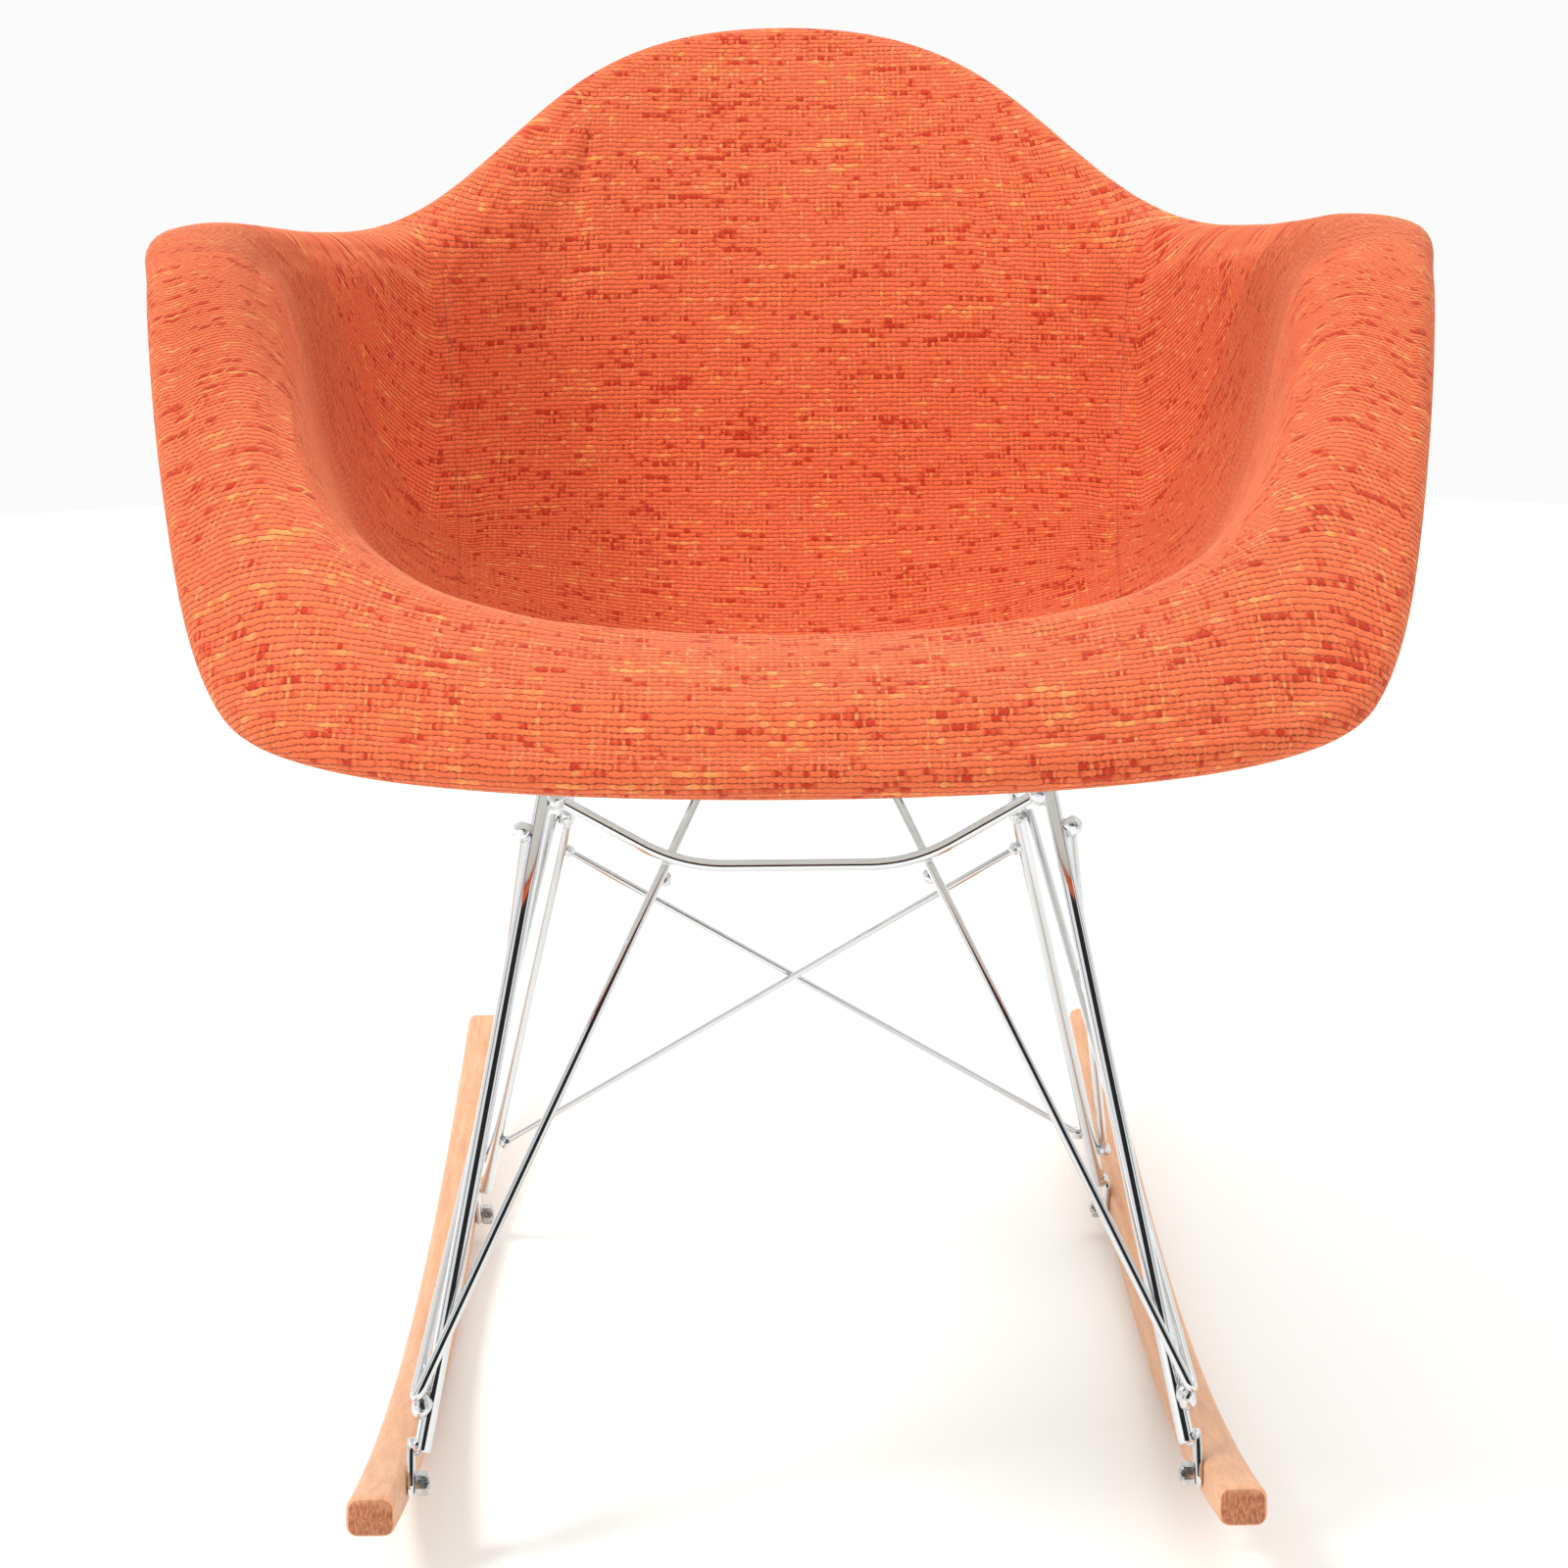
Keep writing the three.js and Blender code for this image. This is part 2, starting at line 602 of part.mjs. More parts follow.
function runnerBody(side) {
  const stations = [
    ...evenly(-RUNNER_HALF_LENGTH, BALANCE_Y - RUNNER_FLAT / 2, FRONT_STEPS),
    ...evenly(BALANCE_Y + RUNNER_FLAT / 2, RUNNER_HALF_LENGTH, REAR_STEPS),
  ];
  const positions = stations.flatMap((y) => {
    const { height, lean } = rockingSurface(y);
    return runnerRing(y).flatMap(([x, z]) => {
      return [side * RUNNER_HALF_SPACING + x, y - z * Math.sin(lean), height + z * Math.cos(lean)];
    });
  });
  const count = runnerRing(0).length;
  const faces = [];
  for (let step = 0; step < stations.length - 1; step += 1) {
    for (let i = 0; i < count; i += 1) {
      const a = step * count + i;
      const b = step * count + ((i + 1) % count);
      faces.push(a, b + count, b, a, a + count, b + count);
    }
  }
  const last = (stations.length - 1) * count;
  for (let i = 1; i < count - 1; i += 1) {
    faces.push(0, i, i + 1, last, last + i + 1, last + i);
  }
  const geometry = new THREE.BufferGeometry();
  geometry.setAttribute('position', new THREE.Float32BufferAttribute(positions, 3));
  geometry.setIndex(faces);
  return geometry;
}

// The tool that bores a foot bolt's hole through runner, tab and nut.
function boltBore(side, { y, z }) {
  const from = [side * (RUNNER_FACE - THROUGH), y, z];
  return bar(from, [side * (RUNNER_OUTER_X + THROUGH), y, z], BOLT_HOLE, BORE_SIDES);
}

function buildRunner(side, word) {
  const recessX = RUNNER_OUTER_X - BOLT_HEAD_HEIGHT - HEAD_RECESS;
  const cuts = [FRONT_BOLT, REAR_BOLT].flatMap((bolt) => {
    const facet = new THREE.BoxGeometry(THROUGH, FACET_LENGTH, 2 * THROUGH);
    facet.translate(side * (RUNNER_FACE - THROUGH / 2), bolt.y, bolt.z);
    const outside = [side * (RUNNER_OUTER_X + THROUGH), bolt.y, bolt.z];
    const recess = bar(
      [side * recessX, bolt.y, bolt.z], outside, BOLT_HEAD_DIAMETER + HEAD_CLEARANCE, MOUNT_SIDES);
    return [facet, boltBore(side, bolt), recess];
  });
  addPiece(`runner_${word}`, cut(runnerBody(side), ...cuts), 'wood');
}

// ---------------------------------------------------------------- wire base

// A leg: a round rod whose foot is pressed into a flat, drilled tab.
function leg(side, low, high, bolt) {
  const lowPoint = mirrored(low, side);
  const highPoint = mirrored(high, side);
  const lean = Math.atan2(high[1] - low[1], high[2] - low[2]);
  const tab = new THREE.BoxGeometry(TAB_THICKNESS, TAB_WIDTH, TAB_LENGTH);
  tab.translate(0, 0, TAB_LENGTH / 2 - TAB_WIDTH / 2);
  tab.rotateX(-lean);
  tab.translate(side * (TAB_OUTER_X + TAB_INNER_X) / 2, bolt.y, bolt.z);
  const shaft = rod([lowPoint, highPoint], LEG_DIAMETER, { sides: LEG_SIDES });
  return cut(join(shaft, tab), boltBore(side, bolt));
}

const direction = (from, to) => new THREE.Vector3(...to).sub(new THREE.Vector3(...from)).normalize();

// The point where the axis of a second rod passes when it touches the side of a
// first one, near a point of its axis and on the side of a hint.
function beside(point, firstDirection, secondDirection, hint, diameters) {
  const away = firstDirection.clone().cross(secondDirection).normalize();
  if (away.dot(new THREE.Vector3(...hint)) < 0) away.negate();
  const reach = (diameters[0] + diameters[1]) / 2 + GAP;
  return new THREE.Vector3(...point).addScaledVector(away, reach).toArray();
}

// Where a second rod that comes from a far point ends against the side of a first one.
function buttEnd(point, firstDirection, farPoint, diameters) {
  const outward = direction(point, farPoint);
  const slant = Math.abs(outward.dot(firstDirection));
  const reach = (diameters[0] / 2 + GAP + (diameters[1] / 2) * slant) / Math.sqrt(1 - slant * slant);
  return new THREE.Vector3(...point).addScaledVector(outward, reach).toArray();
}

const frontLegDirection = direction(FRONT_LEG.low, FRONT_LEG.high);
const rearLegDirection = direction(REAR_LEG.low, REAR_LEG.high);

function buildLegs(side, word) {
  addPiece(`front_leg_${word}`, leg(side, FRONT_LEG.low, FRONT_LEG.high, FRONT_BOLT), 'chrome');
  addPiece(`rear_leg_${word}`, leg(side, REAR_LEG.low, REAR_LEG.high, REAR_BOLT), 'chrome');
}

// The rear cross wire's end lies behind the top of the rear leg and runs along it.
function rearWireCorners() {
  const sideways = new THREE.Vector3(1, 0, 0);
  const touch = beside(
    REAR_LEG.high, rearLegDirection, sideways, [0, 1, 0], [LEG_DIAMETER, CROSS_WIRE_DIAMETER]);
  const atHeight = (height) => new THREE.Vector3(...touch)
    .addScaledVector(rearLegDirection, (height - touch[2]) / rearLegDirection.z).toArray();
  return { low: atHeight(touch[2] - REAR_WIRE_OVERLAP), bend: atHeight(REAR_WIRE_HEIGHT) };
}

function buildCrossWires() {
  const bend = CROSS_WIRE_BEND;
  const joint = between(FRONT_LEG.high, FRONT_LEG.low, CROSS_WIRE_JOINT);
  const frontEnd = buttEnd(joint, frontLegDirection, bend, [LEG_DIAMETER, CROSS_WIRE_DIAMETER]);
  const front = [mirrored(frontEnd, -1), mirrored(bend, -1), bend, frontEnd];
  addPiece('front_cross_wire', rod(front, CROSS_WIRE_DIAMETER, { sides: CROSS_WIRE_SIDES }), 'chrome');

  const ends = rearWireCorners();
  const rear = [mirrored(ends.low, -1), mirrored(ends.bend, -1), ends.bend, ends.low];
  const shape = { sides: CROSS_WIRE_SIDES, radius: REAR_WIRE_RADIUS };
  addPiece('rear_cross_wire', rod(rear, CROSS_WIRE_DIAMETER, shape), 'chrome');
}

// A hairpin brace: from the rear leg's top forward and down to a loop beside the front
// foot, then up in front of the leg and behind the front cross wire, and under the pan
// to the rear one.
function buildHairpin(side, word) {
  const loop = HAIRPIN_LOOP;
  const joint = between(REAR_LEG.high, REAR_LEG.low, HAIRPIN_JOINT);
  const rearTop = beside(
    joint, rearLegDirection, direction(joint, loop), [1, 0, 0], [LEG_DIAMETER, BRACE_DIAMETER]);
  const rise = (HAIRPIN_TOP - loop[2]) / (WIRE_CROSSING[2] - loop[2]);
  const underPan = between(loop, WIRE_CROSSING, rise);
  const wirePoint = [underPan[0], rearWireCorners().bend[1], REAR_WIRE_HEIGHT];
  const sideways = new THREE.Vector3(1, 0, 0);
  const rearEnd = buttEnd(wirePoint, sideways, underPan, [CROSS_WIRE_DIAMETER, BRACE_DIAMETER]);
  const corners = [rearTop, loop, underPan, rearEnd].map((corner) => mirrored(corner, side));
  addPiece(`hairpin_brace_${word}`, rod(corners, BRACE_DIAMETER, { radius: HAIRPIN_RADIUS }), 'chrome');
}

function buildSideBrace(side, word) {
  const topJoint = between(FRONT_LEG.high, FRONT_LEG.low, SIDE_BRACE_TOP);
  const footJoint = between(REAR_LEG.low, REAR_LEG.high, SIDE_BRACE_FOOT);
  const run = direction(topJoint, footJoint);
  const diameters = [LEG_DIAMETER, BRACE_DIAMETER];
  const top = beside(topJoint, frontLegDirection, run, [1, 0, 0], diameters);
  const foot = beside(footJoint, rearLegDirection, run, [1, 0, 0], diameters);
  const ends = [mirrored(top, side), mirrored(foot, side)];
  addPiece(`side_brace_${word}`, rod(ends, BRACE_DIAMETER), 'chrome');
}

// Two thin rods cross between the rear legs, one in front of the other.
function buildRearBraces() {
  const half = (X_BRACE_DIAMETER + GAP) / 2;
  const high = between(REAR_LEG.high, REAR_LEG.low, X_BRACE_TOP);
  const low = between(REAR_LEG.low, REAR_LEG.high, X_BRACE_FOOT);
  const diameters = [LEG_DIAMETER, X_BRACE_DIAMETER];
  const top = buttEnd(high, rearLegDirection, mirrored(low, -1), diameters);
  const foot = buttEnd(low, rearLegDirection, mirrored(high, -1), diameters);
  [[1, 'front'], [-1, 'back']].forEach(([side, place]) => {
    const ends = [mirrored(top, side), mirrored(foot, -side)];
    const moved = ends.map(([x, y, z]) => [x, y - side * half, z]);
    addPiece(`rear_brace_${place}_rod`, rod(moved, X_BRACE_DIAMETER), 'chrome');
  });
}

function buildFootFasteners(side, word) {
  const headInner = RUNNER_OUTER_X - BOLT_HEAD_HEIGHT - HEAD_RECESS + GAP;
  const headOuter = headInner + BOLT_HEAD_HEIGHT;
  const nutOuter = TAB_INNER_X - GAP;
  const nutInner = nutOuter - NUT_HEIGHT;
  const cornerDiameter = NUT_ACROSS_FLATS / Math.cos(Math.PI / HEXAGON);
  Object.entries({ front: FRONT_BOLT, rear: REAR_BOLT }).forEach(([place, bolt]) => {
    const across = (from, to, diameter, sides) => {
      return bar([side * from, bolt.y, bolt.z], [side * to, bolt.y, bolt.z], diameter, sides);
    };
    const shank = across(
      nutInner - SHANK_OVERRUN, headInner + SHANK_OVERRUN, BOLT_DIAMETER, BORE_SIDES);
    const head = across(headInner, headOuter, BOLT_HEAD_DIAMETER);
    const socketFloor = headInner + FOOT_SOCKET.floor;
    const socket = across(socketFloor, headOuter + THROUGH, FOOT_SOCKET.width, HEXAGON);
    addPiece(`foot_bolt_${place}_${word}`, cut(join(shank, head), socket), 'zinc');

    const nut = across(nutInner, nutOuter, cornerDiameter, HEXAGON);
    addPiece(`foot_nut_${place}_${word}`, cut(nut, boltBore(side, bolt)), 'zinc');
  });
}

buildSeat();
buildMounts();
buildCrossWires();
buildRearBraces();
[[1, 'right'], [-1, 'left']].forEach(([side, word]) => {
  buildRunner(side, word);
  buildLegs(side, word);
  buildHairpin(side, word);
  buildSideBrace(side, word);
  buildFootFasteners(side, word);
});

export default chair;
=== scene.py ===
"""Rocking armchair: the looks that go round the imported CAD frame.

Metres, +X is the sitter's left-right axis, -Y is the front, +Z is up.
"""

import random
from collections import namedtuple
from functools import partialmethod
from math import acos, atan, atan2, cos, hypot, pi, radians, sin, sqrt

import bpy
import numpy as np
from mathutils import Matrix, Vector
from mathutils.kdtree import KDTree


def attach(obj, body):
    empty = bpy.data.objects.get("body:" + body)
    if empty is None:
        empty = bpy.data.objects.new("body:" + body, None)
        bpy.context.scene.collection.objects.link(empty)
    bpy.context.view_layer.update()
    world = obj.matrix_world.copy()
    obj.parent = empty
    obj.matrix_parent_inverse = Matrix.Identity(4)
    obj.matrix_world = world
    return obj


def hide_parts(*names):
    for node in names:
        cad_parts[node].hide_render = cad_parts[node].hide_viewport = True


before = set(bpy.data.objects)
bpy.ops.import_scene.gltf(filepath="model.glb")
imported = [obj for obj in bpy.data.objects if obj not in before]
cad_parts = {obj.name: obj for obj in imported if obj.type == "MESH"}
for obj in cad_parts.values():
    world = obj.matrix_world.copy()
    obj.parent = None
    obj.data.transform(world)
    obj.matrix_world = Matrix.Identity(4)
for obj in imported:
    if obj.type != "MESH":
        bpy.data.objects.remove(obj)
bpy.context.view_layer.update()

MM = 0.001
SEED = 7

# ---------------- driving dimensions, in mm

# Runners
RUNNER_HALF_SPACING = 195.3
RUNNER_HALF_WIDTH = 11
RUNNER_HALF_LENGTH = 340
RUNNER_RADIUS = 1230
RUNNER_EASE = 1.92e-7
RUNNER_MID_HEIGHT = 27
RUNNER_END_HEIGHT = 17.5
RUNNER_ROUNDING = 0.3
BALANCE_Y = -26
RUNNER_FLAT = 34
FACET_DEPTH = 0.5
FACET_LENGTH = 64
END_GRAIN_DEPTH = 8
RUNNER_STATIONS = 170
CORNER_STEPS = 7

# Rods
LEG_DIAMETER = 8
CROSS_WIRE_DIAMETER = 6
BRACE_DIAMETER = 5
X_BRACE_DIAMETER = 4
BEND_RADIUS = 22
HAIRPIN_RADIUS = 14
GAP = 0.3
ROD_SIDES = 28
BEND_STEPS = 14
BEND_LIMIT = 2.1  # a bend's reach is at most a straight run's length over this
CUT_LENGTH = 0.18  # of a rod's rounded end, as a part of its diameter
CUT_EASING = ((0.0, 0.62), (0.12, 0.82), (0.45, 0.96), (1.0, 1.0))  # place on it, size there

# Where rods join the legs, as parts of a leg's length from its top or its foot
CROSS_WIRE_JOINT = 0.08
HAIRPIN_JOINT = 0.02
SIDE_BRACE_TOP = 0.14
SIDE_BRACE_FOOT = 0.09
X_BRACE_TOP = 0.09
X_BRACE_FOOT = 0.12

# Weld beads: length and width by where they are, and their lumps
LEG_WELD = (13, 11.5)
WIRE_WELD = (11, 9)
THIN_WELD = (8, 7)
FOOT_WELD = (9, 7)
LOOP_WELD = (13, 9)
REAR_WIRE_WELD = (18, 10)
BRACE_TOP_WELD = (11, 9.5)
BRACE_FOOT_WELD = (9, 8)
WELD_RINGS = 12
WELD_SIDES = 20
WELD_WAVES = 4
WELD_TIP = 0.02  # radius of a bead's ends, as a part of its widest

# Feet
TAB_THICKNESS = 3.2
TAB_WIDTH = 12
TAB_LENGTH = 27
TAB_BEVEL = 0.5
TAB_EDGE_SIZE = 0.93  # of a tab's flat faces, against its full outline
BOLT_DIAMETER = 6
BOLT_HEAD_DIAMETER = 11
BOLT_HEAD_HEIGHT = 3.5
NUT_ACROSS_FLATS = 10
NUT_HEIGHT = 6
HEAD_RECESS = 1  # of a bolt head below the runner's outer side

# Seat layers, as offsets from the middle of the padded shell
HALF_THICKNESS = 11
COVER_THICKNESS = 2
SHELL_TOP = -3
SHELL_BOTTOM = -8.4
FOAM_BOTTOM = -2.4
HEM_INSET = 0.02
RIM_SQUARENESS = 5

# Turned profiles of the mounts: distance below the seat, radius, and 1 where six-sided
RUBBER_PROFILE = ((1.3, 15.2, 0), (1.6, 16.4, 0), (2.4, 17, 0), (4.5, 16.1, 0), (7, 16.1, 0),
                  (9.5, 17, 0), (10.1, 16.4, 0), (10.3, 15.2, 0))
PLATE_PROFILE = ((10.6, 19.2, 0), (11, 19.8, 0), (12.6, 20, 0), (13.3, 19.6, 0), (13.6, 18.6, 0))
SCREW_PROFILE = ((13.9, 5.6, 0), (14.2, 6, 0), (16.6, 5.9, 0), (17.6, 5.2, 0), (17.9, 4.2, 0),
                 (17.9, 2.6, 1), (15.9, 2.5, 1), (15.6, 1.2, 1))
BOSS_PROFILE = ((-6, 13, 0), (0.6, 13, 0), (1, 12.5, 0))
BOSS_HOLE = ((-12, 13.3, 0), (6, 13.3, 0))

# Weave: spacings in mm, the rest as parts of a spacing, of a yarn's height or of a blend
WARP_SPACING = 3.3
WEFT_SPACING = 2.6
WANDER_SCALE = 0.09  # of the noise by which the yarns stray from straight
WARP_WANDER = 0.9
WEFT_WANDER = 0.7
YARN_NARROWNESS = 1.9  # 2 would make the yarns as wide as their spacing
THIN_WEFT = 0.66
WARP_THICKNESS = 0.46
WEFT_RISE = 0.16
WARP_RISE = 0.20
GAP_SHADE_DEPTHS = (0.36, 0.64)  # heights between which the painted shade in the gaps gives way to the yarns' colour
SPECK_SHARE = 0.6
PAINTED_SHEEN_SHARE = 0.28  # of the painted sheen, a paler orange mixed into the colour where the cloth is seen edge on
SEAM_SHADE = 0.25
DEEP_RED = (0.57, 0.040, 0.014)
ORANGE = (0.86, 0.165, 0.062)
YELLOW_ORANGE = (0.93, 0.34, 0.105)
LIGHT_ORANGE = (0.90, 0.24, 0.095)
# colour of the painted sheen where the cloth is seen edge on
PAINTED_SHEEN_ORANGE = (1.0, 0.42, 0.21)
# dark red of the painted shade in the weave's gaps and the dart seams, also the colour of the random dark
# specks
GAP_SHADE_AND_SPECK_RED = (0.24, 0.014, 0.006)

RUNNER_OUTER_X = RUNNER_HALF_SPACING + RUNNER_HALF_WIDTH
RUNNER_FACE = RUNNER_HALF_SPACING - RUNNER_HALF_WIDTH + FACET_DEPTH
TAB_OUTER_X = RUNNER_FACE - GAP
TAB_INNER_X = TAB_OUTER_X - TAB_THICKNESS

# Key points of the wire base on the +X side; the other side is mirrored.
FRONT_BOLT = (-281, 42)
REAR_BOLT = (107, 16.5)
FRONT_LEG = ((178, -278, 56), (115.6, -148.4, 366))
REAR_LEG = ((178.5, 101, 34), (121, 30, 281))
HAIRPIN_LOOP = (181.7, -281, 79)
CROSS_WIRE_BEND = (56, -160, 304)
REAR_WIRE_HEIGHT = 308.8
WIRE_CROSSING = (64.2, -156.8, 302.1)
HAIRPIN_TOP = 342
REAR_WIRE_OVERLAP = 14
REAR_WIRE_RADIUS = 14

# The seat's centre line, from the front edge over the pan and up the back: y, z.
FRONT_EDGE_HEIGHT = 390
BACK_TOP_HEIGHT = 675
CENTRE_LINE = np.array([
    [-318, FRONT_EDGE_HEIGHT], [-298, 413], [-252, 424], [-165, 388], [-50, 343],
    [62, 335], [138, 412], [190, 545], [258, BACK_TOP_HEIGHT],
], float)

# The rim's front corner, the arm at its widest and the corner of the back.
RimMark = namedtuple("RimMark", "y half_width height")
FRONT_CORNER = RimMark(-282, 250, 390)
ARM = RimMark(-22, 305, 588)
BACK_CORNER = RimMark(132, 220, 568)
ARM_SLOPE = 0.97  # rise of the arm's front edge for each millimetre to the rear
ARM_ROUNDING = 8  # where that edge turns into the level top
FRONT_BOW = 1.6  # exponents of the rim's bow in plan, ahead of the widest
REAR_BOW = 1.15  # place and behind it
RIM_STATIONS = (-282, -262, -218, -150, -88, -22, 50, 97, 132)

# Each cross-section leaves the centre line level, with one reach, and meets the rim
# along a tangent with another.
CENTRE_REACH = np.array([150, 190, 240, 305, 350, 345, 280, 165, 120], float)[:, None]
RIM_TANGENT = np.array([
    [1, 0.2, -0.15], [1, 0, -0.35], [0.9, -0.25, -0.45], [0.75, -0.5, -0.45], [0.75, -0.6, -0.28],
    [0.85, -0.35, -0.28], [1, -0.15, -0.22], [0.9, -0.3, -0.2], [0.75, -0.48, -0.45],
], float)
RIM_REACH = np.array([60, 68, 85, 110, 130, 120, 95, 85, 115], float)[:, None]

# The sewn dart where arm meets back: x at its foot and top, and the heights between.
DART_X = (178, 186)
DART_HEIGHT = (392, 566)
DART_REAR_OF = 40
DART_DEPTH = 1.8
DART_WIDTH = 5
DART_FADES = (25, 12)  # lengths over which it fades at its foot and top
SEAM_HALF_WIDTH = 0.4
LEVEL_FROM = (0.52, 0.68)  # along the seat: where the rows of the back turn level
LEVEL_OUT_TO = (200, 325)  # half widths between which they turn back to the arm's run
LEVEL_ABOVE = (350, 430)  # heights between which the rows leave the pan's run
ROW_SMILE = 0.0002  # rise of those rows to both sides, for each mm squared

COARSE = (64, 80)  # cells across and along
REFINEMENT = 4  # cells of the fine grid in a coarse one
WRAP_STEPS = 10


# ---------------- vectors

def unit(rows):
    return rows / np.linalg.norm(rows, axis=-1, keepdims=True)


def mirrored(point, side):
    return (point[0] * side, point[1], point[2])


def between(a, b, share):
    return tuple(Vector(a).lerp(Vector(b), share))


def direction(a, b):
    return (Vector(b) - Vector(a)).normalized()


def beside(point, first, second, hint, diameters):
    """Where a second rod's axis passes when it touches the side of a first rod."""
    away = first.cross(second).normalized()
    if away.dot(Vector(hint)) < 0:
        away.negate()
    return tuple(Vector(point) + away * (sum(diameters) / 2 + GAP))


def butt_end(point, first, far_point, diameters):
    """Where a second rod that comes from a far point ends against a first one."""
    outward = direction(point, far_point)
    slant = abs(outward.dot(first))
    reach = (diameters[0] / 2 + GAP + diameters[1] / 2 * slant) / sqrt(1 - slant * slant)
    return tuple(Vector(point) + outward * reach)


# ---------------- meshes

def linked(name, data):
    """A new object in the scene that holds the data."""
    made = bpy.data.objects.new(name, data)
    bpy.context.scene.collection.objects.link(made)
    return made


class MeshParts:
    """Collects closed shells, in mm, that make one piece."""

    def __init__(self):
        self.points = []
        self.faces = []
        self.finishes = []

    def add(self, points, faces, finish=0):
        start = sum(len(p) for p in self.points)
        self.points.append(np.asarray(points, float))
        self.faces.extend([[start + int(i) for i in face] for face in faces])
        self.finishes.extend([finish] * len(faces))
        return self

    def build(self, name, materials, crease=40):
        mesh = bpy.data.meshes.new(name)
        mesh.from_pydata((np.vstack(self.points) * MM).tolist(), [], self.faces)
        mesh.polygons.foreach_set("material_index", self.finishes)
        return finished(name, mesh, materials, crease)


def finished(name, mesh, materials, crease):
    """Links a smooth-shaded mesh as an object that keeps edges sharper than crease degrees."""
    mesh.validate()
    mesh.shade_smooth()
    mesh.set_sharp_from_angle(angle=radians(crease))
    for material in materials:
        mesh.materials.append(material)
    return linked(name, mesh)


def tube_faces(rings, sides):
    """Quads between rings of equal size, with an n-gon over each end."""
    faces = []
    for ring in range(rings - 1):
        for side in range(sides):
            following = (side + 1) % sides
            a, b = ring * sides + side, ring * sides + following
            faces.append((a, b, b + sides, a + sides))
    faces.append(tuple(reversed(range(sides))))
    faces.append(tuple(range((rings - 1) * sides, rings * sides)))
    return faces


def swept(path, sections):
    """Rings of section points (sideways, up) carried along a path without twisting."""
    path = np.asarray(path, float)
    ahead = unit(np.gradient(path, axis=0))
    sideways = unit(np.cross(ahead[0], (0, 0, 1)))
    rings = []
    for place, forward, section in zip(path, ahead, sections):
        sideways = unit(sideways - forward * np.dot(sideways, forward))
        upwards = np.cross(forward, sideways)
        rings.append(place + np.outer(section[:, 0], sideways) + np.outer(section[:, 1], upwards))
    return np.vstack(rings)


def circle(radius, sides=ROD_SIDES):
    angles = np.linspace(0, 2 * pi, sides, endpoint=False)
    return radius * np.column_stack([np.cos(angles), np.sin(angles)])


def rounded_path(corners, radius):
    """The corner points of a bent rod, with each inner corner rounded."""
    corners = [Vector(c) for c in corners]
    path = [corners[0]]
    for before, corner, after in zip(corners, corners[1:], corners[2:]):
        back, forward = before - corner, after - corner
        reach = min(radius, back.length / BEND_LIMIT, forward.length / BEND_LIMIT)
        start = corner + back.normalized() * reach
        end = corner + forward.normalized() * reach
        for t in np.linspace(0, 1, BEND_STEPS + 1):
            path.append(start * (1 - t) ** 2 + corner * 2 * t * (1 - t) + end * t ** 2)
    path.append(corners[-1])
    return [tuple(p) for p in path]


def rod(corners, diameter, radius=BEND_RADIUS):
    """Points and faces of a bent rod with slightly rounded cut ends."""
    path = rounded_path(corners, radius)
    first, last = direction(path[0], path[1]), direction(path[-2], path[-1])
    edge = CUT_LENGTH * diameter
    starts = [tuple(Vector(path[0]) + first * edge * part) for part, _ in CUT_EASING]
    ends = [tuple(Vector(path[-1]) - last * edge * part) for part, _ in reversed(CUT_EASING)]
    full_path = starts + path[1:-1] + ends
    sizes = [size for _, size in CUT_EASING]
    sections = [circle(diameter / 2 * size) for size in sizes + [1] * (len(path) - 2) + sizes[::-1]]
    return swept(full_path, sections), tube_faces(len(full_path), ROD_SIDES)


def stood(points, origin, axis):
    """Points made round +Z, turned to an axis and moved to an origin."""
    turn = Vector((0, 0, 1)).rotation_difference(Vector(axis).normalized()).to_matrix()
    return [tuple(Vector(origin) + turn @ Vector(point)) for point in points]


def weld(point, size, along, seed):
    """A lumpy weld bead round a joint; size is its (length, width) in mm."""
    dice = random.Random(SEED + seed)
    waves = [(dice.uniform(2, 4), dice.uniform(0, 6.3), dice.uniform(0.03, 0.09))
             for _ in range(WELD_WAVES)]
    points = []
    for ring in range(WELD_RINGS + 1):
        height = cos(pi * ring / WELD_RINGS)
        radius = (sqrt(max(0.0, 1 - height * height)) + WELD_TIP) * size[1] / 2
        for side in range(WELD_SIDES):
            angle = 2 * pi * side / WELD_SIDES
            lump = 1 + sum(d * sin(f * angle + p + f * 1.7 * height) for f, p, d in waves)
            points.append((cos(angle) * radius * lump, sin(angle) * radius * lump, -height * size[0] / 2))
    return stood(points, point, along), tube_faces(WELD_RINGS + 1, WELD_SIDES)


def turned(stations, origin, axis, sides=48):
    """A solid of revolution: stations are (height, radius, six_sided) along an axis.
    A six-sided ring has its radius measured across its flats."""
    points = []
    for height, radius, six_sided in stations:
        for angle in np.linspace(0, 2 * pi, sides, endpoint=False):
            off_flat = (angle + pi / 6) % (pi / 3) - pi / 6
            reach = radius / cos(off_flat) if six_sided else radius
            points.append((reach * cos(angle), reach * sin(angle), height))
    return stood(points, origin, axis), tube_faces(len(stations), sides)


def turned_piece(name, stations, origin, axis, material, crease=40):
    return MeshParts().add(*turned(stations, origin, axis)).build(name, [material], crease)


# ---------------- materials

class Value:
    """A value in a material's graph; sums and comparisons of values become Math nodes."""

    def __init__(self, graph, socket):
        self.graph, self.socket = graph, socket

    def work_out(self, operation, *others):
        return self.graph.math(operation, self, *others)

    def __rsub__(self, number):
        return self.graph.math("SUBTRACT", number, self)

    __add__ = partialmethod(work_out, "ADD")
    __sub__ = partialmethod(work_out, "SUBTRACT")
    __mul__ = partialmethod(work_out, "MULTIPLY")
    __truediv__ = partialmethod(work_out, "DIVIDE")
    __pow__ = partialmethod(work_out, "POWER")
    __lt__ = partialmethod(work_out, "LESS_THAN")
    __gt__ = partialmethod(work_out, "GREATER_THAN")
    __abs__ = partialmethod(work_out, "ABSOLUTE")


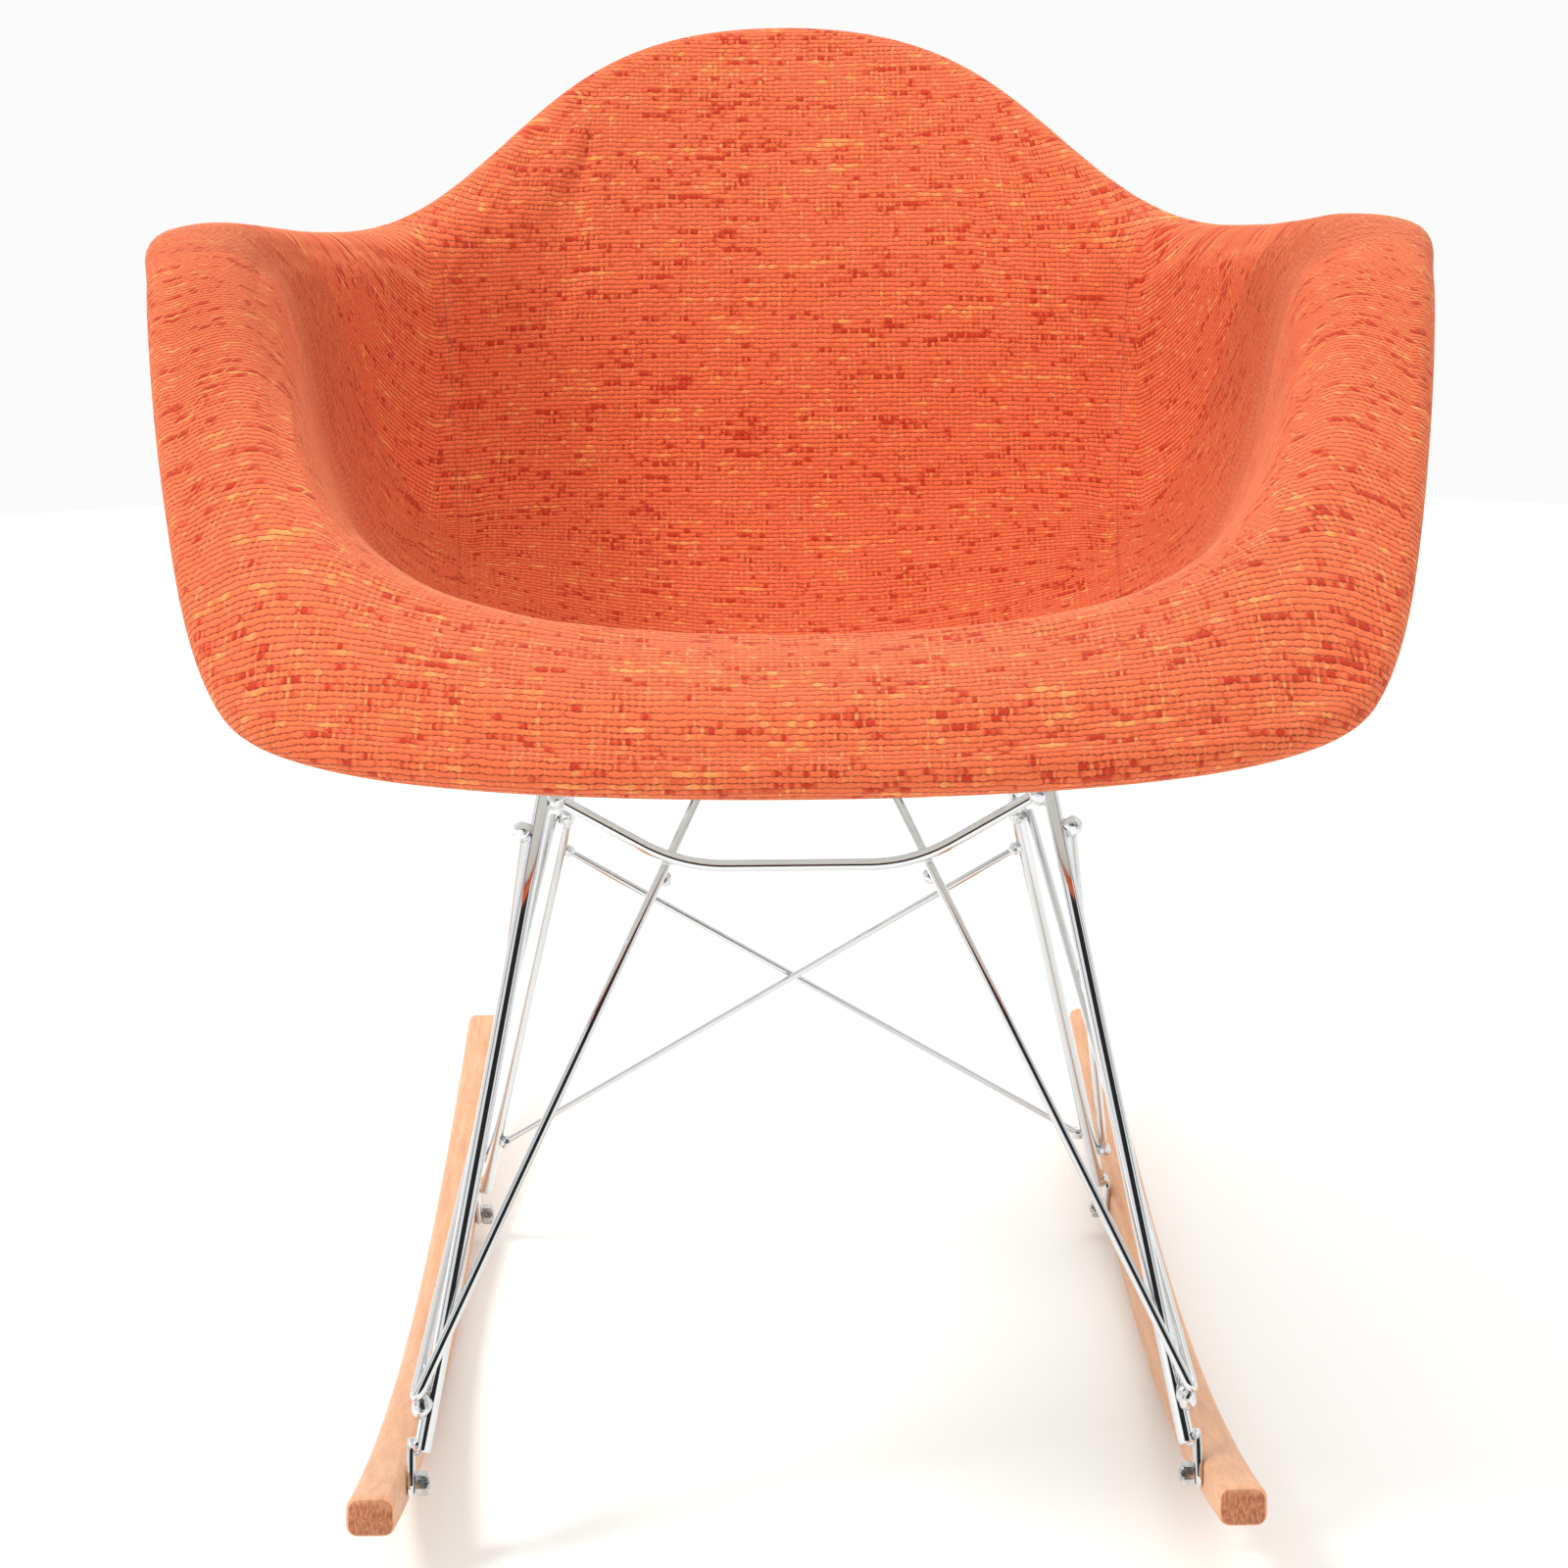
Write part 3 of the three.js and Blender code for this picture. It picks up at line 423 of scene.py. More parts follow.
class Graph:
    """A material and short ways to add nodes to it."""

    def __init__(self, name, **sockets):
        self.material = bpy.data.materials.new(name)
        self.material.use_nodes = True
        self.tree = self.material.node_tree
        self.shader = self.tree.nodes["Principled BSDF"]
        for socket, value in sockets.items():
            self.set_shader(socket.replace("_", " "), value)

    def set(self, target, value):
        if isinstance(value, Value):
            self.tree.links.new(value.socket, target)
        else:
            target.default_value = value

    def set_shader(self, socket, value):
        self.set(self.shader.inputs[socket], value)

    def add(self, kind, *inputs, **settings):
        """Adds a node; its first inputs take the given values, apart from None."""
        made = self.tree.nodes.new("ShaderNode" + kind)
        for key, value in settings.items():
            setattr(made, key, value)
        for target, value in zip(made.inputs, inputs):
            if value is not None:
                self.set(target, value)
        return made

    def node(self, kind, *inputs, output=0, **settings):
        return Value(self, self.add(kind, *inputs, **settings).outputs[output])

    def math(self, operation, *values):
        return self.node("Math", *values, operation=operation)

    def vector(self, x, y, z=0.0):
        return self.node("CombineXYZ", x, y, z)

    def split(self, vector):
        return [Value(self, socket) for socket in self.add("SeparateXYZ", vector).outputs]

    def place(self):
        """Where a point of the piece is, in metres: every piece sits at the origin."""
        return self.node("TexCoord", output="Object")

    def noise(self, vector, scale, detail=2.0, roughness=0.5):
        return self.node("TexNoise", vector, None, scale, detail, roughness)

    def ramp(self, value, *stops):
        """Colours at places; each stop is (place, colour)."""
        made = self.add("ValToRGB", value)
        elements = made.color_ramp.elements
        elements.remove(elements[1])
        for number, (position, colour) in enumerate(stops):
            element = elements[0] if number == 0 else elements.new(position)
            element.position = position
            element.color = (*colour, 1)
        return Value(self, made.outputs[0])

    def spread(self, value, low, high, to_low=0.0, to_high=1.0):
        return self.node("MapRange", value, low, high, to_low, to_high)

    def mix(self, factor, a, b):
        """A blend of two colours; a Mix node has its colours at sockets 6 and 7."""
        made = self.add("Mix", factor, data_type="RGBA")
        for number, value in ((6, a), (7, b)):
            self.set(made.inputs[number], (*value, 1) if isinstance(value, tuple) else value)
        return Value(self, made.outputs[2])

    def bump(self, height, distance, strength=1.0):
        made = self.add("Bump")
        made.inputs["Strength"].default_value = strength
        made.inputs["Distance"].default_value = distance
        self.set(made.inputs["Height"], height)
        self.set_shader("Normal", Value(self, made.outputs[0]))


def weave(name, has_darts):
    """A coarse plain weave of slubby yarns, laid out by the mesh's cloth coordinates."""
    g = Graph(name, Sheen_Weight=0.35, Sheen_Roughness=0.45, Sheen_Tint=(1.0, 0.62, 0.42, 1),
              Specular_IOR_Level=0.15)
    u, v, _ = g.split(g.node("Attribute", output="Vector", attribute_name="cloth"))
    wander = g.noise(g.vector(u, v), WANDER_SCALE)
    x = u / WARP_SPACING + wander * WARP_WANDER
    y = v / WEFT_SPACING + wander * WEFT_WANDER
    column, row = g.math("FLOOR", x), g.math("FLOOR", y)

    def yarn(offset):
        """The round back of a yarn, from 1 over its middle to 0 at its edges."""
        return g.math("SQRT", g.math("MAXIMUM", 1.0 - abs(offset * YARN_NARROWNESS) ** 2.0, 0.0))

    def rise(place, counter, reach):
        """How a yarn goes over and under the ones it crosses."""
        return g.math("COSINE", (place - 0.5 + counter) * pi) * reach

    heavy = g.noise(g.vector(u * 0.05, row * 5.3), 1.0)
    weft = yarn(y - row - 0.5) * g.spread(heavy, 0.32, 0.68, THIN_WEFT, 1.0) + rise(x, row, WEFT_RISE)
    warp = yarn(x - column - 0.5) * WARP_THICKNESS + rise(y, column, -WARP_RISE)
    height = g.math("MAXIMUM", weft, warp)

    long_tone = g.noise(g.vector(u * 0.022, row * 7.13), 1.0, 1)
    dash = g.noise(g.vector(u * 0.11, row * 3.1), 1.0, 2, 0.65)
    row_tone = long_tone * 0.4 + dash * 0.6
    column_tone = g.noise(g.vector(column * 5.77, v * 0.03), 1.0, 1)
    weft_colour = g.ramp(row_tone, (0.39, DEEP_RED), (0.46, ORANGE), (0.56, ORANGE),
                         (0.65, YELLOW_ORANGE))
    warp_colour = g.ramp(column_tone, (0.40, ORANGE), (0.56, LIGHT_ORANGE), (0.70, YELLOW_ORANGE))
    yarns = g.mix(weft > warp, warp_colour, weft_colour)
    # Painted shade: the low gaps between the yarns turn dark red
    shaded = g.mix(g.spread(height, *GAP_SHADE_DEPTHS), GAP_SHADE_AND_SPECK_RED, yarns)
    specks = g.noise(g.vector(u, v), 1.1, 2, 0.8)
    shaded = g.mix(g.spread(specks, 0.56, 0.74, 0.0, SPECK_SHARE), shaded, GAP_SHADE_AND_SPECK_RED)
    # Painted sheen: the colour turns towards a paler orange where the cloth is seen edge on
    grazing = g.node("LayerWeight", output="Facing")
    shaded = g.mix(g.spread(grazing, 0.78, 1.0, 0.0, PAINTED_SHEEN_SHARE), shaded, PAINTED_SHEEN_ORANGE)
    fibres = g.noise(g.vector(u * 2.2, v * 2.2), 1.0, 3, 0.7)
    relief = height + fibres * 0.35
    if has_darts:
        seam = dart_mask(g)
        shaded = g.mix(seam * SEAM_SHADE, shaded, GAP_SHADE_AND_SPECK_RED)
        relief = relief - seam
    g.set_shader("Base Color", shaded)
    g.set_shader("Roughness", g.spread(fibres, 0.3, 0.7, 0.82, 0.98))
    g.bump(relief, 0.0011, 0.85)
    return g.material


def dart_mask(g):
    """1 on the thin line of the sewn darts, 0 elsewhere."""
    x, y, z = g.split(g.place())
    low, high = (h * MM for h in DART_HEIGHT)
    line = g.spread(z, low, high, DART_X[0] * MM, DART_X[1] * MM)
    near = abs(abs(x) - line) < SEAM_HALF_WIDTH * MM
    return near * (z > low) * (z < high) * (y > DART_REAR_OF * MM)


def finish(name, tone, gloss, relief, **sockets):
    """An even finish. tone is a noise and its two colours, gloss a noise, two places on it
    and their roughness, relief a noise, a depth in metres and a strength; a noise is
    (scale, detail) or (scale, detail, roughness)."""
    g = Graph(name, **sockets)
    if tone:
        noise, dark, light = tone
        g.set_shader("Base Color", g.ramp(g.noise(g.place(), *noise), (0.3, dark), (0.7, light)))
    noise, *spread = gloss
    g.set_shader("Roughness", g.spread(g.noise(g.place(), *noise), *spread))
    noise, depth, strength = relief
    g.bump(g.noise(g.place(), *noise), depth, strength)
    return g.material


def chrome(name, roughness, lumps):
    return finish(name, None, ((60.0, 3), 0.35, 0.7, roughness * 0.6, roughness * 1.6),
                  ((420.0, 3, 0.6), 0.0005, lumps), Metallic=1.0, Base_Color=(0.74, 0.75, 0.765, 1))


def zinc():
    return finish("zinc_steel", ((300.0, 3), (0.50, 0.51, 0.52), (0.74, 0.74, 0.73)),
                  ((900.0, 2), 0.3, 0.7, 0.22, 0.42), ((1500.0, 2), 0.0002, 0.3), Metallic=1.0)


def rubber():
    return finish("black_rubber", ((200.0, 4), (0.012, 0.012, 0.013), (0.03, 0.03, 0.031)),
                  ((500.0, 3), 0.3, 0.7, 0.6, 0.85), ((2500.0, 2), 0.0003, 0.4))


def moulded_plastic():
    return finish("moulded_plastic", ((40.0, 4), (0.66, 0.65, 0.61), (0.74, 0.73, 0.70)),
                  ((800.0, 2), 0.3, 0.7, 0.42, 0.6), ((2200.0, 2), 0.0002, 0.4))


def beech():
    """Pale beech: long soft grain, short ray flecks and darker end grain."""
    g = Graph("beech", Specular_IOR_Level=0.4, Coat_Weight=0.15, Coat_Roughness=0.35)
    x, y, z = g.split(g.place())
    grain = g.noise(g.vector(x, y * 0.06, z), 260.0, 4, 0.6)
    flecks = g.noise(g.vector(x, y * 0.22, z), 900.0)
    wood = g.ramp(grain, (0.30, (0.66, 0.31, 0.16)), (0.50, (0.76, 0.39, 0.21)),
                  (0.72, (0.84, 0.48, 0.28)))
    wood = g.mix(g.spread(flecks, 0.60, 0.72, 0.0, 0.40), wood, (0.48, 0.19, 0.085))
    normal_y = g.split(g.node("NewGeometry", output="Normal"))[1]
    past_end = abs(y) > (RUNNER_HALF_LENGTH - END_GRAIN_DEPTH) * MM
    rings = g.noise(g.vector(x, 0.0, z * 0.4), 800.0, 4, 0.7)
    end_wood = g.ramp(rings, (0.36, (0.27, 0.080, 0.032)), (0.52, (0.48, 0.17, 0.075)),
                      (0.68, (0.64, 0.28, 0.13)))
    end_face = g.spread(abs(normal_y), 0.75, 0.9) * past_end
    g.set_shader("Base Color", g.mix(end_face, wood, end_wood))
    g.set_shader("Roughness", g.spread(grain, 0.3, 0.7, 0.42, 0.58))
    g.bump(grain + flecks, 0.0002, 0.35)
    return g.material


FABRIC = weave("orange_weave", True)
BACK_FABRIC = weave("orange_weave_outside", False)
CHROME = chrome("mirror_chrome", 0.055, 0.02)
WELD_CHROME = chrome("weld_chrome", 0.16, 0.8)
ZINC = zinc()
RUBBER = rubber()
PLASTIC = moulded_plastic()
BEECH = beech()


# ---------------- seat surface

def spline(stations, along):
    """Catmull-Rom interpolation through evenly spaced rows."""
    last = len(stations) - 1
    place = np.clip(along, 0, 1) * last
    index = np.minimum(place.astype(int), last - 1)
    t = (place - index)[:, None]
    rows = np.vstack([2 * stations[:1] - stations[1:2], stations, 2 * stations[-1:] - stations[-2:-1]])
    a, b, c, d = (rows[index + k] for k in range(4))
    return 0.5 * (2 * b + (c - a) * t + (2 * a - 5 * b + 4 * c - d) * t ** 2
                  + (3 * b - a - 3 * c + d) * t ** 3)


def rim_point(y):
    """The rim on the +X side: bowed in plan, with a sloping front edge and a level top."""
    is_ahead = y < ARM.y
    corner = FRONT_CORNER if is_ahead else BACK_CORNER
    share = (ARM.y - y) / (ARM.y - corner.y)
    bow = share ** (FRONT_BOW if is_ahead else REAR_BOW)
    x = ARM.half_width - (ARM.half_width - corner.half_width) * bow
    climb = FRONT_CORNER.height + ARM_SLOPE * (y - FRONT_CORNER.y)
    top = ARM.height - (0 if is_ahead else (ARM.height - BACK_CORNER.height) * share)
    return x, y, (climb + top) / 2 - hypot((climb - top) / 2, ARM_ROUNDING)


RIM_LINE = np.array([rim_point(y) for y in RIM_STATIONS])


def seat_points(across, along):
    """Points on the middle of the padded shell, in mm. across runs from -1 to 1 between
    the rims, along from 0 at the front edge to 1 at the top of the back."""
    w = np.abs(across)[:, None]
    start = np.column_stack([np.zeros(len(w)), spline(CENTRE_LINE, along)])
    end = spline(RIM_LINE, along)
    start_handle = start + np.column_stack([spline(CENTRE_REACH, along), np.zeros((len(w), 2))])
    end_handle = end - unit(spline(RIM_TANGENT, along)) * spline(RIM_REACH, along)
    points = (start * (1 - w) ** 3 + start_handle * 3 * w * (1 - w) ** 2
              + end_handle * 3 * w ** 2 * (1 - w) + end * w ** 3)
    points[:, 0] *= np.sign(across)
    return points


def seat_directions(across, along, h=1e-3):
    """Unit vectors along the rows, along the warp, and square to the surface."""
    row = seat_points(np.minimum(across + h, 1), along) - seat_points(np.maximum(across - h, -1), along)
    warp = seat_points(across, np.minimum(along + h, 1)) - seat_points(across, np.maximum(along - h, 0))
    return unit(row), unit(warp), unit(np.cross(row, warp))


def rounded_square(a, b):
    """Maps a square to the rounded square that outlines the seat."""
    m = np.maximum(np.maximum(np.abs(a), np.abs(b)), 1e-6)
    spread = (np.abs(a) / m) ** RIM_SQUARENESS + (np.abs(b) / m) ** RIM_SQUARENESS
    k = 1 + (np.maximum(spread, 1) ** (-1 / RIM_SQUARENESS) - 1) * m * m
    return a * k, (b * k + 1) / 2


TABLE_STEPS = 160


def arc_tables():
    """Row lengths from the centre line, and the centre line's own length, in mm."""
    steps = np.linspace(0, 1, TABLE_STEPS + 1)
    along, across = np.meshgrid(steps, steps, indexing="ij")
    rows = seat_points(across.ravel(), along.ravel()).reshape(TABLE_STEPS + 1, -1, 3)
    run = np.linalg.norm(np.diff(rows, axis=1), axis=2)
    lengths = np.concatenate([np.zeros((TABLE_STEPS + 1, 1)), run.cumsum(axis=1)], axis=1)
    centre = np.linalg.norm(np.diff(rows[:, 0], axis=0), axis=1).cumsum()
    return lengths, np.concatenate([[0], centre])


ROW_LENGTHS, WARP_LENGTHS = arc_tables()


def bilinear(table, rows, columns):
    """Values of a table at fractional rows and columns."""
    i = np.clip(rows.astype(int), 0, table.shape[0] - 2)
    j = np.clip(columns.astype(int), 0, table.shape[1] - 2)
    s, t = rows - i, columns - j
    return ((table[i, j] * (1 - t) + table[i, j + 1] * t) * (1 - s)
            + (table[i + 1, j] * (1 - t) + table[i + 1, j + 1] * t) * s)


def cloth_places(across, along):
    """Cloth coordinates in mm: along the weft from the middle, and up the warp."""
    sideways = np.sign(across) * bilinear(ROW_LENGTHS, along * TABLE_STEPS, np.abs(across) * TABLE_STEPS)
    steps = np.linspace(0, 1, TABLE_STEPS + 1)
    upwards = np.interp(along, steps, WARP_LENGTHS)
    x, _, z = seat_points(across, along).T
    back = steps >= LEVEL_FROM[0]
    heights = np.maximum.accumulate(spline(CENTRE_LINE, steps)[back, 1])
    level = np.interp(z - ROW_SMILE * x ** 2, heights, WARP_LENGTHS[back])
    share = np.interp(along, LEVEL_FROM, (0, 1)) * np.interp(np.abs(x), LEVEL_OUT_TO, (1, 0))
    share *= np.interp(z, LEVEL_ABOVE, (0, 1))
    upwards = upwards + (level - upwards) * share
    return np.column_stack([sideways, upwards, np.zeros(len(across))])


class SeatGrid:
    """A grid over the seat, with its points, directions, cloth places and outline."""

    def __init__(self, cells_across, cells_along, inset=0.0):
        self.size = (cells_across, cells_along)
        sides = np.linspace(-1, 1, cells_across + 1) * (1 - inset)
        ends = np.linspace(-1, 1, cells_along + 1) * (1 - inset)
        a, b = np.meshgrid(sides, ends)
        self.a, self.b = a.ravel(), b.ravel()
        self.locate()
        number = np.arange(self.a.size).reshape(a.shape)
        self.outline = np.concatenate(
            [number[0, :-1], number[:-1, -1], number[-1, :0:-1], number[:0:-1, 0]])
        self.quads = np.stack(
            [number[:-1, :-1], number[:-1, 1:], number[1:, 1:], number[1:, :-1]], axis=-1).reshape(-1, 4)
        loop = self.points[self.outline]
        run = np.roll(loop, -1, axis=0) - np.roll(loop, 1, axis=0)
        self.outward = unit(np.cross(run, self.normals[self.outline]))

    def locate(self):
        across, along = rounded_square(self.a, self.b)
        self.points = seat_points(across, along)
        self.rows, self.warps, self.normals = seat_directions(across, along)
        self.cloth = cloth_places(across, along)

    def sheet(self, offset):
        """The grid's points at an offset, which may differ from point to point."""
        return self.points + self.normals * np.reshape(offset, (-1, 1))

    def rim_ring(self, offset, past):
        """A ring round the rim and its cloth places; past is how far it stands out."""
        edge = self.outline
        points = self.points[edge] + self.normals[edge] * offset + self.outward * past
        run = HALF_THICKNESS * (pi / 2 if past == 0 else atan2(past, offset))
        cloth = self.cloth[edge].copy()
        cloth[:, 0] += run * (self.outward * self.rows[edge]).sum(axis=1)
        cloth[:, 1] += run * (self.outward * self.warps[edge]).sum(axis=1)
        return points, cloth


HEM_CLOTH_SHIFT = 300  # keeps the hem's weave apart from the seat's above it


def hem_ring(grid, offset, inset):
    """A ring on the hem line with one point for each point of the grid's outline."""
    reach = 1 - inset
    a = np.clip(grid.a[grid.outline], -reach, reach)
    b = np.clip(grid.b[grid.outline], -reach, reach)
    across, along = rounded_square(a, b)
    normals = seat_directions(across, along)[2]
    cloth = cloth_places(across, along)
    cloth[:, 0] += HEM_CLOTH_SHIFT
    return seat_points(across, along) + normals * offset, cloth


def stitched(upper, lower):
    """Quads from an upper loop of point numbers to a lower one of the same length."""
    return np.stack([upper, lower, np.roll(lower, -1), np.roll(upper, -1)], axis=-1)


def fanned(fine, coarse):
    """Triangles from a fine loop to a coarse loop under it."""
    ratio = len(fine) // len(coarse)
    faces = []
    for k, start in enumerate(coarse):
        following = coarse[(k + 1) % len(coarse)]
        for step in range(ratio):
            a, b = fine[k * ratio + step], fine[(k * ratio + step + 1) % len(fine)]
            faces.append((a, start, b))
        faces.append((fine[(k + 1) * ratio % len(fine)], start, following))
    return faces


class SeatLayer:
    """Collects points, cloth places and faces of one layer of the seat."""

    def __init__(self):
        self.points, self.cloth, self.faces = [], [], []
        self.count = 0

    def take(self, points, cloth):
        numbers = np.arange(self.count, self.count + len(points))
        self.points.append(points)
        self.cloth.append(cloth)
        self.count += len(points)
        return numbers

    def sheet(self, grid, offset, faces_up):
        numbers = self.take(grid.sheet(offset), grid.cloth)
        quads = numbers[grid.quads]
        self.faces.extend((quads if faces_up else quads[:, ::-1]).tolist())
        return numbers[grid.outline]

    def loops(self, loops):
        for upper, lower in zip(loops, loops[1:]):
            self.faces.extend(stitched(upper, lower).tolist())

    def mesh(self, name):
        mesh = bpy.data.meshes.new(name)
        mesh.from_pydata((np.vstack(self.points) * MM).tolist(), [], self.faces)
        store_cloth(mesh, np.vstack(self.cloth))
        return mesh


def store_cloth(mesh, places):
    attribute = mesh.attributes.get("cloth") or mesh.attributes.new("cloth", "FLOAT_VECTOR", "POINT")
    attribute.data.foreach_set("vector", places.astype(np.float32).ravel())


def relay_cloth(mesh, grid):
    """Gives a cut mesh its cloth coordinates again, each from the nearest grid point."""
    tree = KDTree(len(grid.points))
    for number, point in enumerate(grid.points):
        tree.insert(point, number)
    tree.balance()
    places = []
    for vertex in mesh.vertices:
        point = np.array(vertex.co) / MM
        number = tree.find(point)[1]
        away = point - grid.points[number]
        places.append(grid.cloth[number] + (away @ grid.rows[number], away @ grid.warps[number], 0))
    store_cloth(mesh, np.array(places))


def rim_rings(layer, grid, radius, angles):
    rings = []
    for angle in angles:
        points, cloth = grid.rim_ring(radius * cos(angle), radius * sin(angle))
        rings.append(layer.take(points, cloth))
    return rings


def dart_groove(points):
    """How deep the sewn darts pull the cover in, in mm."""
    x, y, z = points.T
    low, high = DART_HEIGHT
    share = np.clip((z - low) / (high - low), 0, 1)
    away = np.abs(np.abs(x) - (DART_X[0] + share * (DART_X[1] - DART_X[0])))
    ends = np.clip((z - low) / DART_FADES[0], 0, 1) * np.clip((high - z) / DART_FADES[1], 0, 1)
    return DART_DEPTH * np.exp(-(away / DART_WIDTH) ** 2) * ends * (y > DART_REAR_OF)


SPOT_WAVES = 14
SPOT_LENGTHS = (18, 70)
SPOT_HEIGHT = 0.07


def unevenness(points):
    """Small uneven spots of the padding: a sum of waves in random directions, in mm."""
    waves = np.random.default_rng(SEED)
    height = np.zeros(len(points))
    for _ in range(SPOT_WAVES):
        step = waves.normal(size=3)
        step *= 2 * pi / waves.uniform(*SPOT_LENGTHS) / np.linalg.norm(step)
        height += np.sin(points @ step + waves.uniform(0, 2 * pi))
    return height * SPOT_HEIGHT


SWELL_CAP = 3.0
SWELL_FRAMES = 20
SWELL_START = 1.4  # how far under its final face the pad starts
SWELL_PRESSURE = 4
PAD_WRAP = 0.62  # how far the pad goes round the rim, in half turns
HELD_DART = 0.75  # depth from which a dart's groove is held
EDGE_FADE = 0.06  # part of half the seat over which the relief fades at the rim


def pad_swelling(grid):
    """Lets the pad's cover swell as cloth under pressure, held at the rim, the hem and
    the darts, and returns how far each grid point moved along its normal, in mm."""
    layer = SeatLayer()
    upper = layer.sheet(grid, HALF_THICKNESS - SWELL_START, True)
    rim = rim_rings(layer, grid, HALF_THICKNESS, np.linspace(0, pi * PAD_WRAP, 5)[1:])
    lower = layer.sheet(grid, FOAM_BOTTOM, False)
    layer.loops([upper, *rim, lower])
    pad = linked("pad_simulation", layer.mesh("pad_simulation"))
    held = set(range(len(grid.points), layer.count)) | set(grid.outline.tolist())
    held |= set(np.nonzero(dart_groove(grid.points) > HELD_DART)[0].tolist())
    pins = pad.vertex_groups.new(name="held")
    pins.add([int(i) for i in sorted(held)], 1.0, "REPLACE")
    cloth = pad.modifiers.new("cloth", "CLOTH")
    cloth.settings.vertex_group_mass = "held"
    cloth.settings.use_pressure = True
    cloth.settings.uniform_pressure_force = SWELL_PRESSURE
    cloth.settings.effector_weights.gravity = 0
    cloth.settings.quality = 6
    cloth.point_cache.frame_end = SWELL_FRAMES
    for number in range(1, SWELL_FRAMES + 1):
        bpy.context.scene.frame_set(number)
    result = pad.evaluated_get(bpy.context.evaluated_depsgraph_get())
    moved = np.empty(layer.count * 3)
    result.data.vertices.foreach_get("co", moved)
    moved = moved.reshape(-1, 3)[:len(grid.points)] / MM
    bpy.context.scene.frame_set(1)
    bpy.data.objects.remove(pad)
    swell = ((moved - grid.sheet(HALF_THICKNESS - SWELL_START)) * grid.normals).sum(axis=1)
    return np.clip(swell, 0, SWELL_CAP)


def build_upholstery(coarse, fine):
    """The padded inner cover: over the seat, round the rim, and turned under as a hem."""
    swell = pad_swelling(coarse)
    table = swell.reshape(coarse.size[1] + 1, coarse.size[0] + 1)
    on_fine = bilinear(table, (fine.b + 1) / 2 * coarse.size[1], (fine.a + 1) / 2 * coarse.size[0])
    edge_share = np.clip((1 - np.maximum(np.abs(fine.a), np.abs(fine.b))) / EDGE_FADE, 0, 1)
    relief = (on_fine - SWELL_START) + unevenness(fine.points) - dart_groove(fine.points)
    layer = SeatLayer()
    upper = layer.sheet(fine, HALF_THICKNESS + relief * edge_share, True)
    outside = rim_rings(layer, fine, HALF_THICKNESS, np.linspace(0, pi, WRAP_STEPS + 1)[1:])
    hem = [layer.take(*hem_ring(fine, -HALF_THICKNESS, HEM_INSET)),
           layer.take(*hem_ring(fine, COVER_THICKNESS - HALF_THICKNESS, HEM_INSET))]
    inner_radius = HALF_THICKNESS - COVER_THICKNESS
    turn = acos(FOAM_BOTTOM / inner_radius)
    inside = rim_rings(layer, fine, inner_radius, np.linspace(pi, turn, 5))
    lower = layer.sheet(coarse, FOAM_BOTTOM, False)
    layer.loops([upper, *outside, *hem, *inside])
    layer.faces.extend(fanned(inside[-1], lower))
    piece = finished("seat_upholstery", layer.mesh("seat_upholstery"), [FABRIC], 60)
    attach(piece, "root")
    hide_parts("inner_cover", "foam_pad")


# ---------------- seat mounts

def node_centre(name):
    points = np.array([v.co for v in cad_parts[name].data.vertices])
    return Vector((points.min(axis=0) + points.max(axis=0)) / 2) / MM


MOUNT_NAMES = [f"{end}_{side}" for end in ("front", "rear") for side in ("right", "left")]
RUBBER_MID = 5.8  # below the seat's underside, on each mount's axis


def mount_axes():
    """Each mount's foot on the seat's underside, in mm, and the direction down from it."""
    axes = {}
    for name in MOUNT_NAMES:
        insert, plate = node_centre(f"threaded_insert_{name}"), node_centre(f"mount_plate_{name}")
        down = (plate - insert).normalized()
        axes[name] = (node_centre(f"seat_mount_{name}") - down * RUBBER_MID, down)
    return axes


MOUNTS = mount_axes()


def cut_away(piece, cutters):
    """Cuts closed shells, given as (points, faces) in mm, out of a piece for good."""
    for points, faces in cutters:
        tool = MeshParts().add(points, faces).build("cutter", [])
        cut = piece.modifiers.new("cut", "BOOLEAN")
        cut.operation = "DIFFERENCE"
        cut.solver = "EXACT"
        cut.object = tool
        bpy.context.view_layer.objects.active = piece
        with bpy.context.temp_override(object=piece, active_object=piece, selected_objects=[piece]):
            bpy.ops.object.modifier_apply(modifier="cut")
        bpy.data.objects.remove(tool)


def build_shell(coarse):
    """The moulded shell between the pad and the outer cover, with its four bosses."""
    layer = SeatLayer()
    upper = layer.sheet(coarse, SHELL_TOP, True)
    lower = layer.sheet(coarse, SHELL_BOTTOM, False)
    layer.loops([upper, lower])
    parts = MeshParts().add(np.vstack(layer.points), layer.faces)
    for foot, down in MOUNTS.values():
        parts.add(*turned(BOSS_PROFILE, foot, down))
    piece = parts.build("moulded_shell", [PLASTIC])
    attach(piece, "root")
    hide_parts("seat_shell")


EDGE_ROLL = 0.8  # how far the outer cover's edge bulges, and how much of its
EDGE_BEVEL = 0.7  # thickness that takes up on each side
COVER_INSET = 0.024  # its edge, as a part of half the seat, just inside the hem


